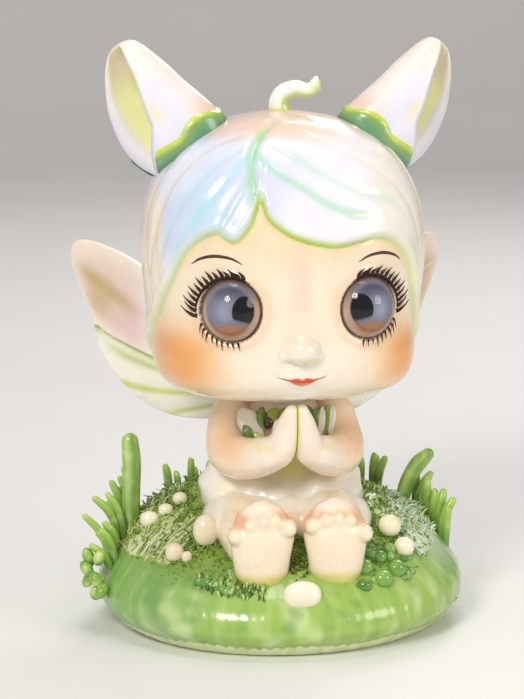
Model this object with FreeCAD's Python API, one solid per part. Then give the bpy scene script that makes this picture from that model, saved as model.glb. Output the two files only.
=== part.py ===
"""Woodland fairy figurine: a big-headed seated doll in cast vinyl on a grassy hill.

Millimetres. +Z is up, the figure faces -Y, and its own left hand is on +X. The origin lies on the
surface that the hill stands on, under the middle of its bottom plate. Left-hand pieces are modelled
and the right-hand ones are mirrored from them.
"""
import math
import os

import FreeCAD, Part

Vec = FreeCAD.Vector
OUT = "parts"

# ---- driving dimensions -------------------------------------------------------------------------
HILL_HALF_WIDTH = 48.0
HILL_HALF_DEPTH = 41.0
HILL_WAIST_Z = 7.0          # height of the widest ring
HILL_TOP_Z = 37.0
HILL_UNDERCUT = 13.0        # how far below the waist the side would close, were it not cut flat
HILL_CENTRE_Y = 1.0
HILL_CREST_SHIFT = 12.0     # the crest lies this much further back than the waist
HILL_POWER = 2.3
HILL_CEILING_Z = 19.0

PLATE_HALF_WIDTH = 39.0
PLATE_HALF_DEPTH = 31.0
PLATE_THICKNESS = 2.4
PLATE_CENTRE_Y = 1.0
SCREW_X, SCREW_Y = 27.0, 15.0
SCREW_RADIUS = 1.2
SCREW_HEAD_RADIUS = 2.4
SCREW_HEAD_HEIGHT = 1.2

HEAD_TOP_Z = 138.2
HEAD_BOTTOM_Z = 66.0
HEAD_PLAN_POWER = 2.4
HEAD_LEVELS = [             # z, half width, front, rear, centre y
    (66.4, 21.0, 18.0, 17.0, 0), (68.0, 29.5, 26.0, 23.5, 0), (71.5, 33.8, 31.0, 28.0, 0),
    (77.0, 35.2, 33.0, 31.0, 0), (84.0, 34.8, 33.2, 32.4, 0), (92.0, 35.2, 32.8, 33.4, 0),
    (100.0, 36.0, 32.4, 34.0, 0), (108.0, 36.0, 31.6, 34.0, 0), (115.5, 34.8, 30.0, 32.8, 0),
    (122.5, 32.0, 27.2, 30.0, 0), (128.5, 27.4, 23.0, 25.8, 0), (133.2, 21.2, 17.6, 19.8, 0),
    (136.4, 13.0, 10.8, 12.0, 0)]
HEAD_WALL = 2.6
HAIR_THICKNESS = 1.4
SEAM_Y = 19.0               # the head's front casting ends at this plane, the rear cap begins
PARTING_X = -10.4

EYE_X, EYE_Z = 18.0, 91.0
EYE_LEVEL = 5               # the head level nearest to the eyes
EYE_TURN = 15.0             # degrees that each eye looks outward
EYE_RADIUS = 8.0
EYE_SINK = 4.2              # the eyeball's centre lies this far behind the face
NOSE_Z = 81.5
NOSE_LEVEL = 4              # the head level nearest to the nose
NOSE_RADIUS = 4.4

EAR_X, EAR_Y, EAR_Z = 24.9, 2.0, 131.2
EAR_AXIS = Vec(0.6, 0, 0.8)
EAR_WALL = 1.7
EAR_OPENS_FORWARD = 27.0    # degrees from straight out to the side
EAR_PEG_RADIUS = 3.5
EAR_SWIVEL = 15.0           # degrees each way

SHOULDER_Y, SHOULDER_Z = 0.0, 56.5
ARM_PEG_RADIUS = 3.0
CLIP_RADIUS = 3.9
CLIP_INNER_X, CLIP_OUTER_X = 6.9, 8.1
ARM_ROOM_Y = 2.3            # the arms stay clear of rings round this centre
ARM_ROOM = [                # radius, z: enough for the torso while an arm is lowered by 16 degrees
    (0.0, 38.0), (22.3, 40.5), (19.0, 45.0), (15.9, 50.0), (13.7, 56.0), (12.7, 66.0), (0.0, 66.0)]

NECK_RADIUS = 4.0
NECK_TOP_Z = 71.2
NECK_HOLE_RADIUS = 6.6
TORSO_WALL = 2.6

WING_ROOT = Vec(5.0, 19.0, 56.0)
WING_SWEEP = 32.0           # degrees back from straight out to the side
WING_THICKNESS = 1.6
WING_PEG_RADIUS = 1.9

SPROUT_PEG_RADIUS = 1.6
RUNNING_GAP = 0.05          # radial clearance of every peg that turns
LOOSE_GAP = 0.35            # between a moving piece and its neighbour


# ---- building blocks ----------------------------------------------------------------------------
def skin(rings, low, high):
    """A closed solid with one smooth face, drawn by rings of poles between two end points."""
    pull = 3.0 / (2.0 + math.cos(2 * math.pi / len(rings[0])))
    columns = []
    for i in range(len(rings[0])):
        column = [low]
        for ring in rings:
            middle = sum(ring, Vec()) * (1.0 / len(ring))
            column.append(middle + (ring[i] - middle) * pull)
        columns.append(column + [high])
    spans = len(columns[0]) - 3
    surface = Part.BSplineSurface()
    surface.buildFromPolesMultsKnots(
        columns, [1] * (len(columns) + 1), [4] + [1] * (spans - 1) + [4],
        list(range(len(columns) + 1)), list(range(spans + 1)), True, False, 3, 3)
    solid = Part.Solid(Part.Shell([surface.toShape()]))
    if solid.Volume < 0:
        solid.reverse()
    return solid


def curve_power(angle, power):
    """Cosine and sine of a superellipse of that power."""
    c, s = math.cos(angle), math.sin(angle)
    bend = 2.0 / power
    return (math.copysign(abs(c) ** bend, c), math.copysign(abs(s) ** bend, s))


def level_ring(x, y, z, width, front, rear, power=2.0, count=20):
    """A flat ring at height z; front and rear are its reach towards -Y and +Y."""
    ring = []
    for i in range(count):
        c, s = curve_power(2 * math.pi * i / count, power)
        ring.append(Vec(x + width * c, y + (rear if s > 0 else front) * s, z))
    return ring


def blob(x, y, z, width, front, rear, up, down, plan=2.0, upper=2.0, lower=2.0, rings=12, count=20):
    """A rounded solid about (x, y, z) with its own reach and squareness in each direction."""
    stack = []
    for j in range(rings):
        angle = math.pi * ((j + 0.5) / rings - 0.5)
        power = upper if angle > 0 else lower
        k, rise = curve_power(angle, power)
        height = z + (up if angle > 0 else down) * rise
        stack.append(level_ring(x, y, height, width * k, front * k, rear * k, plan, count))
    return skin(stack, Vec(x, y, z - down), Vec(x, y, z + up))


def stacked(levels, low_z, high_z, grow=0.0, power=2.1, x=0.0):
    """A solid through levels of (z, width, front, rear, centre y), grown outward by grow."""
    rings = [level_ring(x, cy, z, w + grow, f + grow, r + grow, power)
             for z, w, f, r, cy in levels]
    first, last = levels[0][4], levels[-1][4]
    return skin(rings, Vec(x, first, low_z - grow), Vec(x, last, high_z + grow))


def limb(stations, side, start, end, count=14):
    """A solid along stations of (x, y, z, half size across side, other half size)."""
    rings = []
    for i, (x, y, z, a, b) in enumerate(stations):
        before = Vec(*stations[i - 1][:3]) if i else start
        after = Vec(*stations[i + 1][:3]) if i + 1 < len(stations) else end
        along = (after - before).normalize()
        across = (side - along * side.dot(along)).normalize()
        other = along.cross(across)
        middle = Vec(x, y, z)
        rings.append([middle + across * (a * math.cos(2 * math.pi * k / count))
                      + other * (b * math.sin(2 * math.pi * k / count)) for k in range(count)])
    return skin(rings, start, end)


def rod(points, radii, count=10):
    """A round-ended rod through points, with a radius at each."""
    points = [Vec(*p) for p in points]
    side = Vec(0, 1, 0)
    stations = [(p.x, p.y, p.z, r, r) for p, r in zip(points, radii)]
    first = (points[0] - points[1]).normalize()
    last = (points[-1] - points[-2]).normalize()
    return limb(stations, side, points[0] + first * radii[0] * 0.6,
                points[-1] + last * radii[-1] * 0.6, count)


def pin(radius, start, end):
    """A straight cylinder from start to end."""
    return Part.makeCylinder(radius, (end - start).Length, start, end - start)


def tube(outer, inner, start, end):
    return pin(outer, start, end).cut(pin(inner, start, end))


def mirrored(shape):
    return shape.mirror(Vec(), Vec(1, 0, 0))


def turned(shape, centre, axis, angle):
    copy = shape.copy()
    copy.rotate(centre, axis, angle)
    return copy


def half_space(x0, y0, z0, x1, y1, z1):
    return Part.makeBox(x1 - x0, y1 - y0, z1 - z0, Vec(x0, y0, z0))


def outline_solid(points, closing, direction, place):
    """A smooth open edge through points, closed by straight corners and extruded along direction.

    place turns each flat point into a point in space."""
    edge = Part.BSplineCurve()
    edge.interpolate([place(*p) for p in points])
    corners = [place(*points[-1])] + [place(*p) for p in closing] + [place(*points[0])]
    wire = Part.Wire([edge.toShape()] + Part.makePolygon(corners).Edges)
    return Part.Face(wire).extrude(direction)


def largest(shape):
    """The biggest solid of a shape that a cut may have left in pieces."""
    return max(shape.Solids, key=lambda s: s.Volume)


def save(name, *shapes):
    """Writes one node, from the solids of all its shapes."""
    solids = [s for shape in shapes for s in shape.Solids if s.Volume > 0.01]
    whole = solids[0] if len(solids) == 1 else Part.makeCompound(solids)
    whole.exportStep(os.path.join(OUT, name + ".step"))
    if not whole.isValid():
        print("invalid:", name)


def save_pair(name, shape):
    """Writes a left-hand node and its mirror image."""
    save("left_" + name, shape)
    save("right_" + name, mirrored(shape))


# ---- hill and everything planted on it ----------------------------------------------------------
def hill_level(share):
    """Half width, half depth and centre y of the hill at a share of its rise above the waist."""
    k = max(0.0, 1.0 - share ** HILL_POWER) ** (1.0 / HILL_POWER)
    return HILL_HALF_WIDTH * k, HILL_HALF_DEPTH * k ** 1.6, HILL_CENTRE_Y + HILL_CREST_SHIFT * share


def hill_height(x, y):
    """Height of the hill's upper surface over (x, y)."""
    low, high = 0.0, 1.0
    for _ in range(40):
        share = (low + high) / 2
        width, depth, centre = hill_level(share)
        inside = width > 0 and (x / width) ** 2 + ((y - centre) / depth) ** 2 < 1
        low, high = (share, high) if inside else (low, share)
    return HILL_WAIST_Z + (HILL_TOP_Z - HILL_WAIST_Z) * low


def hill_body():
    rings = []
    for angle in (-80, -65, -50, -36, -22, -8):
        k, rise = curve_power(math.radians(angle), 2.6)
        z = HILL_WAIST_Z + HILL_UNDERCUT * rise
        rings.append(level_ring(0, HILL_CENTRE_Y, z, HILL_HALF_WIDTH * k, HILL_HALF_DEPTH * k,
                                HILL_HALF_DEPTH * k, count=24))
    for angle in (6, 18, 30, 42, 54, 66, 77, 86):
        k, rise = curve_power(math.radians(angle), HILL_POWER)
        width, depth, centre = hill_level(rise)
        z = HILL_WAIST_Z + (HILL_TOP_Z - HILL_WAIST_Z) * rise
        rings.append(level_ring(0, centre, z, width, depth, depth, count=24))
    low = Vec(0, HILL_CENTRE_Y, HILL_WAIST_Z - HILL_UNDERCUT)
    high = Vec(0, HILL_CENTRE_Y + HILL_CREST_SHIFT, HILL_TOP_Z)
    return skin(rings, low, high).common(half_space(-60, -60, 0, 60, 60, 60))


def oval_prism(width, depth, z0, z1):
    ellipse = Part.Ellipse(Vec(0, PLATE_CENTRE_Y, z0), width, depth)
    return Part.Face(Part.Wire(ellipse.toShape())).extrude(Vec(0, 0, z1 - z0))


def screw_places():
    return [(sx * SCREW_X, PLATE_CENTRE_Y + sy * SCREW_Y) for sx in (-1, 1) for sy in (-1, 1)]


def hill_shell(body):
    """The hill casting: hollow from below, with a boss for each screw and one under the figure."""
    hollow = blob(0, PLATE_CENTRE_Y + 1, PLATE_THICKNESS, PLATE_HALF_WIDTH - 1, PLATE_HALF_DEPTH - 1,
                  PLATE_HALF_DEPTH - 1, HILL_CEILING_Z - PLATE_THICKNESS, 10, 2.2, 2.6, 2.6)
    hollow = hollow.common(half_space(-60, -60, PLATE_THICKNESS, 60, 60, 60))
    for x, y in screw_places():
        hollow = hollow.cut(pin(4.0, Vec(x, y, 0), Vec(x, y, 40)))
    hollow = hollow.cut(pin(6.0, Vec(0, 4, 12), Vec(0, 4, 40)))
    shell = body.cut(hollow)
    shell = shell.cut(oval_prism(PLATE_HALF_WIDTH, PLATE_HALF_DEPTH, 0, PLATE_THICKNESS))
    for x, y in screw_places():
        shell = shell.cut(pin(SCREW_RADIUS, Vec(x, y, 0), Vec(x, y, 10)))
    return shell.cut(pin(1.5, Vec(0, 4, 0), Vec(0, 4, 60)))


def bottom_plate():
    plate = oval_prism(PLATE_HALF_WIDTH - 0.15, PLATE_HALF_DEPTH - 0.15, 0, PLATE_THICKNESS)
    for x, y in screw_places():
        plate = plate.cut(pin(SCREW_RADIUS + 0.2, Vec(x, y, 0), Vec(x, y, 5)))
        plate = plate.cut(pin(SCREW_HEAD_RADIUS + 0.2, Vec(x, y, 0), Vec(x, y, 1.4)))
    return plate


def pan_screw(x, y, seat_z, length, radius=SCREW_RADIUS, head=SCREW_HEAD_RADIUS):
    """A pan-head screw whose head hangs below seat_z, with a cross slot."""
    top = Vec(x, y, seat_z)
    body = pin(head, top - Vec(0, 0, SCREW_HEAD_HEIGHT), top)
    slot_z = seat_z - SCREW_HEAD_HEIGHT
    for w, d in ((head * 1.2, 0.5), (0.5, head * 1.2)):
        body = body.cut(half_space(x - w / 2, y - d / 2, slot_z, x + w / 2, y + d / 2, slot_z + 0.6))
    return body.fuse(pin(radius, top, top + Vec(0, 0, length)))


def blade(x, y, height, radius, lean_x=0.0, lean_y=0.0, curl=0.0):
    """One round-ended grass blade, rooted 3 mm under the hill's surface."""
    root = hill_height(x, y) - 3.0
    points = []
    for share in (0.0, 0.25, 0.5, 0.75, 1.0):
        bend = share + curl * share * share
        points.append((x + lean_x * bend, y + lean_y * bend, root + (height + 3.0) * share))
    return rod(points, [radius * r for r in (0.9, 1.0, 1.05, 1.0, 0.75)])


def planted(body, shapes):
    """The parts of those shapes that stand out of the hill, joined where they touch."""
    return [s.cut(body) for s in shapes]


def pebble(x, y, rx, ry, rz, sink=0.35, squareness=2.2):
    """A smooth stone resting on the hill, sunk by a share of its height."""
    z = hill_height(x, y) + rz * (1 - 2 * sink)
    return blob(x, y, z, rx, ry, ry, rz, rz, squareness, squareness, squareness, 8, 12)


GRASS_LEFT = [   # figure's left, +X: x, y, height, radius, lean x, lean y, curl
    (41.0, 4.0, 9.5, 2.0, 1.0, 0.0, 0.0), (42.6, 11.0, 10.5, 1.4, 0.8, 0.4, 0.0),
    (44.4, 6.5, 8.5, 1.5, 1.4, 0.2, 0.2), (45.0, 13.0, 6.8, 1.2, 1.2, 0.6, 0.0),
    (46.2, 3.5, 7.2, 1.2, 1.2, -0.2, 0.3), (46.6, 8.6, 6.4, 1.3, 2.0, 0.2, 0.2),
    (39.4, 17.0, 8.0, 1.3, 0.6, 1.0, 0.0), (36.0, 22.0, 7.0, 1.2, 0.6, 1.2, 0.0)]
GRASS_RIGHT = [  # figure's right, -X
    (-44.0, 3.0, 10.5, 1.5, -0.6, -0.4, 0.0), (-45.2, 7.0, 8.0, 1.2, -0.8, 0.2, 0.0),
    (-46.2, 1.0, 8.0, 1.5, -4.2, -0.4, 0.4), (-43.0, 13.0, 9.0, 1.3, -0.8, 0.8, 0.0),
    (-44.4, -1.6, 5.4, 1.1, -0.6, -0.2, 0.0), (-36.2, 17.5, 8.2, 1.5, 0.6, 0.8, 0.0),
    (-40.0, 18.5, 7.0, 1.2, -0.4, 1.2, 0.0)]
GRASS_REAR = [
    (-30.0, 26.0, 6.5, 1.4, -0.8, 1.0, 0.0), (-26.5, 29.0, 5.6, 1.2, 0.2, 1.4, 0.0),
    (-21.5, 31.0, 6.4, 1.3, -1.0, 1.2, 0.3), (-9.0, 35.0, 6.0, 1.3, -0.8, 1.6, 0.0),
    (-3.0, 36.0, 7.5, 1.5, 0.4, 1.4, 0.0), (3.6, 35.6, 5.6, 1.2, 0.8, 1.6, 0.2),
    (20.0, 29.5, 7.5, 1.4, 0.6, 1.2, 0.0), (24.0, 27.5, 9.5, 1.4, 0.0, 0.8, 0.0),
    (28.0, 25.5, 7.2, 1.2, 0.8, 0.8, 0.0), (31.5, 24.5, 5.4, 1.3, 1.0, 1.0, 0.0)]


def build_base():
    body = hill_body()
    save("hill_base", hill_shell(body))
    save("base_plate", bottom_plate())
    save("plate_screws", *[pan_screw(x, y, 1.4, 8.0) for x, y in screw_places()])
    save("figure_screw", pan_screw(0, 4, 12, 24.0, 1.4, 3.0))
    stem_z = hill_height(-40.5, 8.0)
    tall = rod([(-40.5, 8.0, stem_z - 4), (-40.4, 8.0, stem_z + 4), (-40.6, 8.1, stem_z + 12),
                (-41.0, 8.2, stem_z + 19), (-41.3, 8.2, stem_z + 25)], [2.9, 2.9, 2.8, 2.6, 2.0])
    save("tall_stem", *planted(body, [tall]))
    stem_z = hill_height(37.0, 12.0)
    bent = rod([(36.0, 12.0, stem_z - 4), (37.5, 12.2, stem_z + 2), (40.2, 12.6, stem_z + 7.5),
                (43.0, 13.0, stem_z + 11.5), (44.8, 13.3, stem_z + 14.2)], [2.3, 2.6, 2.7, 2.5, 1.9])
    save("bent_stem", *planted(body, [bent]))
    for name, rows in (("grass_left", GRASS_LEFT), ("grass_right", GRASS_RIGHT),
                       ("grass_rear", GRASS_REAR)):
        save(name, *planted(body, [blade(*row) for row in rows]))
    leaves = [blob(x, y, z, rx, ry, ry, rz, rz) for x, y, z, rx, ry, rz in (
        (-48.6, -4.0, 13.6, 2.4, 1.6, 3.4), (-49.2, -6.2, 7.4, 2.0, 1.6, 2.6),
        (-50.4, -9.0, 3.9, 2.6, 1.7, 1.7), (-47.6, -9.6, 4.6, 2.2, 1.8, 2.2))]
    save("leaf_rosettes", *planted(body, leaves))
    beads = [pebble(x, y, r, r, r * 0.95, 0.3) for x, y, r in (
        (18.0, -27.5, 2.3), (22.6, -23.5, 2.0), (22.4, -29.0, 2.7), (27.0, -25.0, 2.6),
        (17.0, -31.6, 2.0), (26.0, -20.0, 1.8))]
    save("bead_cluster", *planted(body, beads))
    tufts = [pebble(x, y, r, r, r * 0.8, 0.35) for x, y, r in (
        (-22.0, -28.0, 3.0), (-18.2, -31.2, 2.4), (-25.8, -24.8, 2.4))]
    save("moss_tuft", *planted(body, tufts))
    save("front_stone", *planted(body, [pebble(-0.2, -35.6, 5.2, 3.0, 4.0, 0.3)]))
    save("egg_stone", *planted(body, [pebble(-23.0, -16.0, 3.5, 3.4, 4.4, 0.12)]))
    save("small_buds", *planted(body, [pebble(-31.4, -16.6, 2.6, 2.4, 2.6, 0.2),
                                       pebble(-28.4, -19.0, 1.5, 1.5, 1.6, 0.2)]))
    save("pebble_cluster", *planted(body, [
        pebble(-36.4, 0.5, 2.7, 2.4, 2.4, 0.25), pebble(-31.8, 1.4, 2.1, 2.0, 1.8, 0.25),
        pebble(-27.6, 4.0, 2.1, 2.0, 1.9, 0.25)]))
    save("pebble_pair", *planted(body, [pebble(27.4, -13.6, 3.1, 3.1, 3.1, 0.15),
                                        pebble(30.4, -18.6, 2.8, 2.8, 2.7, 0.15)]))
    return body


# ---- seated figure ------------------------------------------------------------------------------
TORSO = [  # z, half width, front, rear, centre y
    (26.0, 16.0, 12.0, 12.0, 1.0), (29.5, 20.5, 16.0, 15.0, 1.0), (34.0, 22.6, 16.5, 16.0, 1.0),
    (39.0, 21.6, 13.5, 15.0, 1.5), (43.5, 18.0, 10.0, 12.5, 2.0), (48.0, 14.0, 9.0, 11.0, 1.5),
    (53.0, 12.4, 8.6, 10.0, 1.0), (58.0, 11.6, 7.6, 8.8, 0.8), (61.6, 8.6, 6.0, 6.8, 0.5)]
FOOT = [
    (15.6, 3.4, 3.0, 3.4, -29.0), (18.5, 5.4, 4.6, 5.0, -29.0), (22.5, 6.5, 5.2, 5.6, -29.2),
    (27.0, 7.5, 5.2, 6.0, -29.2), (31.0, 8.3, 4.8, 5.6, -29.0), (34.4, 7.2, 3.6, 4.2, -28.6)]
FOOT_X = 9.2


def torso_solid(grow=0.0):
    return stacked(TORSO, 24.5, 62.8, grow)


def neck_column(radius, z0, z1):
    return pin(radius, Vec(0, 0, z0), Vec(0, 0, z1))


def shoulder_pin(radius, x0, x1):
    return pin(radius, Vec(x0, SHOULDER_Y, SHOULDER_Z), Vec(x1, SHOULDER_Y, SHOULDER_Z))


def build_torso(body):
    """The hollow torso, moulded to the hill, with a socket for the neck post and each arm's peg."""
    solid = torso_solid()
    hollow = stacked(TORSO, 24.5 + TORSO_WALL, 62.8 - TORSO_WALL, -TORSO_WALL)
    hollow = hollow.cut(neck_column(6.5, 48, 70))
    hollow = hollow.common(half_space(-30, -30, 39.5, 30, 30, 70))
    shell = solid.cut(hollow).cut(body)
    shell = shell.cut(neck_column(NECK_RADIUS, 50, 70)).cut(neck_column(7.2, 61.4, 70))
    shell = shell.cut(pin(1.4, Vec(0, 4, 20), Vec(0, 4, 36.01)))
    for side in (-1, 1):
        shell = shell.cut(shoulder_pin(ARM_PEG_RADIUS + RUNNING_GAP, side * 6.6, side * 20))
        shell = shell.cut(shoulder_pin(CLIP_RADIUS + LOOSE_GAP, side * 6.6, side * 8.5))
    for peg in (wing_peg(WING_PEG_RADIUS), mirrored(wing_peg(WING_PEG_RADIUS))):
        shell = shell.cut(peg)
    save("torso", shell)


def toes():
    """Big toe on the inside, the others smaller towards the outside."""
    places = ((2.8, 34.2, 2.5), (6.4, 35.6, 2.1), (10.0, 35.9, 1.9), (13.2, 35.0, 1.8), (15.9, 33.0, 1.6))
    return [blob(x, -31.2, z, r, r, r * 1.6, r, r, rings=6, count=10) for x, z, r in places]


def build_legs(body):
    """Each short leg runs forward down the hill and ends in a foot whose sole faces forward."""
    thigh = limb([(12.5, 1.0, 30.5, 8.4, 8.0), (12.4, -7.0, 30.5, 8.6, 8.0), (11.4, -15.0, 29.0, 8.0, 7.6),
                  (10.4, -22.0, 26.5, 6.8, 6.8), (9.8, -26.5, 25.0, 5.6, 5.8)],
                 Vec(1, 0, 0), Vec(12.5, 6.0, 30.5), Vec(9.6, -29.5, 24.5))
    foot = stacked(FOOT, 14.6, 36.0, 0.0, 2.2, FOOT_X)
    leg = foot.multiFuse([thigh] + toes()).cut(body).cut(torso_solid())
    save_pair("leg", leg)


def build_neck():
    post = neck_column(NECK_RADIUS, 50, NECK_TOP_Z).fuse(neck_column(7.0, 61.5, 64.6))
    save("neck_post", post.cut(neck_column(1.5, 62, NECK_TOP_Z)))
    save("neck_washer", tube(6.4, 1.6, Vec(0, 0, NECK_TOP_Z), Vec(0, 0, NECK_TOP_Z + 1.2)))
    head_z = NECK_TOP_Z + 1.2
    screw = neck_column(2.8, head_z, head_z + 1.8).fuse(neck_column(1.5, 63, head_z))
    save("neck_screw", screw.cut(half_space(-2, -0.4, head_z + 1, 2, 0.4, head_z + 2)))
    bush = tube(NECK_HOLE_RADIUS - 0.05, NECK_RADIUS + RUNNING_GAP, Vec(0, 0, 64.9), Vec(0, 0, 71.0))
    flange = tube(9.0, NECK_RADIUS + RUNNING_GAP, Vec(0, 0, 68.9), Vec(0, 0, 71.0))
    save("neck_bush", bush.fuse(flange))


def build_clothes(torso):
    """A ring of small leaves round the neck, two leaves and a bead on the chest, under the chin."""
    ring_leaves = []
    for i in range(7):
        angle = math.radians(-90 + (i - 3) * 24)
        reach = 9.4
        x, y = reach * math.cos(angle), reach * math.sin(angle)
        ring_leaves.append(blob(x * 0.95, y * 0.95 + 0.6, 58.6, 2.6, 2.2, 2.2, 3.4, 3.2, rings=6, count=10))
    arm_room = [half_space(9.2, -40, 40, 30, 40, 70), half_space(-30, -40, 40, -9.2, 40, 70)]
    post_room = neck_column(7.4, 50, 70)
    ring = ring_leaves[0].multiFuse(ring_leaves[1:]).cut(torso).cut(post_room)
    for room in arm_room:
        ring = ring.cut(room)
    save("leaf_collar", ring)
    leaves = []
    for side in (-1, 1):
        leaf = blob(side * 6.6, -9.3, 51.4, 1.5, 1.2, 1.6, 4.6, 4.2, rings=8, count=12)
        leaf = turned(leaf, Vec(side * 6.6, -9.3, 51.4), Vec(0, 1, 0), side * -14)
        leaves.append(leaf.cut(torso).cut(ring))
    save("chest_leaves", *leaves)
    save("chest_bead", blob(-5.2, -10.25, 56.8, 1.25, 1.2, 1.2, 1.7, 1.7, rings=8, count=12))


def arm_solid():
    stations = [
        (13.4, 0.4, 60.2, 3.8, 4.4), (14.8, -0.6, 57.2, 5.2, 5.8), (15.8, -2.4, 52.8, 5.4, 5.7),
        (16.2, -6.0, 49.0, 5.4, 5.4), (14.4, -11.0, 48.2, 5.2, 5.2), (10.8, -16.0, 49.4, 4.9, 5.0),
        (7.2, -20.0, 51.6, 4.3, 4.6), (4.7, -22.8, 54.6, 3.4, 4.4), (3.4, -24.2, 58.4, 2.6, 3.9),
        (2.7, -24.8, 61.8, 2.1, 2.8)]
    return limb(stations, Vec(1, 0, 0), Vec(13.2, 0.6, 61.8), Vec(2.4, -25.2, 64.4))


def arm_room():
    """A round space about the torso that the arms never enter."""
    outline = Part.makePolygon([Vec(radius, ARM_ROOM_Y, z) for radius, z in ARM_ROOM + ARM_ROOM[:1]])
    return Part.Face(outline).revolve(Vec(0, ARM_ROOM_Y, 0), Vec(0, 0, 1), 360)


def build_arms():
    """One casting from shoulder to fingertips, clear of the torso at every angle it can take."""
    arm = arm_solid().cut(arm_room())
    arm = arm.fuse(shoulder_pin(ARM_PEG_RADIUS, CLIP_INNER_X - 0.2, 15.0))
    clip = shoulder_pin(CLIP_RADIUS, CLIP_INNER_X, CLIP_OUTER_X)
    save_pair("arm", arm)
    save_pair("arm_clip", clip.cut(shoulder_pin(ARM_PEG_RADIUS, CLIP_INNER_X, CLIP_OUTER_X)))


# ---- wings --------------------------------------------------------------------------------------
FOREWING = [(2, 1), (14, 4.5), (26, 9.5), (38, 14.5), (47.5, 18.5), (51.5, 26), (54.6, 34), (55.6, 39.5),
            (52.5, 42), (46, 40.6), (38, 37), (31, 33.4), (26.5, 28.5), (23, 19), (18, 10), (10, 7.4), (2, 6.0)]
HINDWING = [(2, -1), (9, -4.6), (18, -5.4), (28, -3.0), (37, 2.6), (43.5, 9.5), (47.6, 17.6), (43, 18.4),
            (32, 14), (18, 8.4), (2, 5)]


def wing_plate(outline, behind):
    """A smooth flat plate in the wing's own plane; behind puts it on the rear side of that plane."""
    sweep = math.radians(WING_SWEEP)
    out = Vec(math.cos(sweep), math.sin(sweep), 0)
    ahead = Vec(math.sin(sweep), -math.cos(sweep), 0)
    start = -WING_THICKNESS if behind else 0.0
    points = [WING_ROOT + out * s + Vec(0, 0, t) + ahead * start for s, t in outline]
    edge = Part.BSplineCurve()
    edge.interpolate(points, PeriodicFlag=True)
    return Part.Face(Part.Wire(edge.toShape())).extrude(ahead * WING_THICKNESS)


def wing_peg(radius):
    return pin(radius, WING_ROOT + Vec(2.6, 2.2, 3.2), Vec(WING_ROOT.x - 0.6, 6.6, WING_ROOT.z + 3.2))


def build_wings():
    """Two plates a side, the upper one in front, held by a peg glued into the back of the torso."""
    upper, lower = wing_plate(FOREWING, False), wing_plate(HINDWING, True)
    peg = wing_peg(WING_PEG_RADIUS)
    save_pair("forewing", upper.fuse(peg.cut(lower)))
    save_pair("hindwing", lower.cut(peg))


# ---- head ---------------------------------------------------------------------------------------
def head_solid(grow=0.0):
    """The whole head as one solid, grown outward by grow (inward if negative)."""
    middle = (HEAD_TOP_Z + HEAD_BOTTOM_Z) / 2
    stretch = 1 + 2 * grow / (HEAD_TOP_Z - HEAD_BOTTOM_Z)
    levels = [(middle + (z - middle) * stretch, w, f, r, cy) for z, w, f, r, cy in HEAD_LEVELS]
    return stacked(levels, HEAD_BOTTOM_Z, HEAD_TOP_Z, grow, HEAD_PLAN_POWER)


def head_front(x, level):
    """How far the head's front stands out at x, at one of its levels."""
    _, width, front, _, _ = HEAD_LEVELS[level]
    return front * (1 - (x / width) ** HEAD_PLAN_POWER) ** (1 / HEAD_PLAN_POWER)


def eye_frame():
    """Centre of the left eyeball and the direction it looks in."""
    turn = math.radians(EYE_TURN)
    look = Vec(math.sin(turn), -math.cos(turn), 0)
    return Vec(EYE_X, -head_front(EYE_X, EYE_LEVEL), EYE_Z) - look * EYE_SINK, look


def hair_region():
    """All of space that lies above the fringe and the ends of the side hair."""
    fringe = [(-33.6, 82), (-32.2, 92), (-29.5, 101), (-25, 107.4), (-20, 109.6), (-15.5, 110.4),
              (-12.6, 113.6), (-10.4, 118.2), (-7, 114), (0, 110.6), (8, 109.4), (17, 110.2),
              (24, 110.6), (28.6, 107.4), (31.4, 100.0), (32.8, 91), (33.6, 82)]
    return outline_solid(fringe, [(60, 76), (60, 170), (-60, 170), (-60, 76)], Vec(0, 120, 0),
                         lambda x, z: Vec(x, -60, z))


def ear_point(along, out, back=0.0):
    """A point given in the left ear's own frame: along its axis, out to the side, and to the rear."""
    out_axis = Vec(EAR_AXIS.z, 0, -EAR_AXIS.x)
    return Vec(EAR_X, EAR_Y, EAR_Z) + EAR_AXIS * along + out_axis * out + Vec(0, back, 0)


EAR_OUTLINE = [  # along the axis, inner edge, outer edge, half depth
    (-5.0, -8.5, 9.5, 7.0), (-1.0, -10.6, 13.0, 8.2), (4.0, -10.8, 15.2, 8.8), (9.5, -9.6, 16.0, 9.0),
    (15.0, -7.4, 15.4, 8.6), (20.5, -6.3, 12.8, 7.6), (25.5, -5.6, 9.4, 6.0), (29.5, -4.2, 5.4, 4.0)]


def ear_rings(wall, shift):
    """Rings of the ear drawn in by wall and moved towards its opening by shift."""
    turn = math.radians(EAR_OPENS_FORWARD)
    rings = []
    for along, inner, outer, depth in EAR_OUTLINE:
        middle, half = (inner + outer) / 2, (outer - inner) / 2 - wall
        depth = depth - wall
        ring = []
        for i in range(16):
            c, s = curve_power(2 * math.pi * i / 16, 2.1)
            ring.append(ear_point(along, middle + half * c + shift * math.cos(turn),
                                  depth * s - shift * math.sin(turn)))
        rings.append(ring)
    return rings


def ear_peg(radius, low, high):
    return pin(radius, ear_point(low, 0), ear_point(high, 0))


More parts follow.
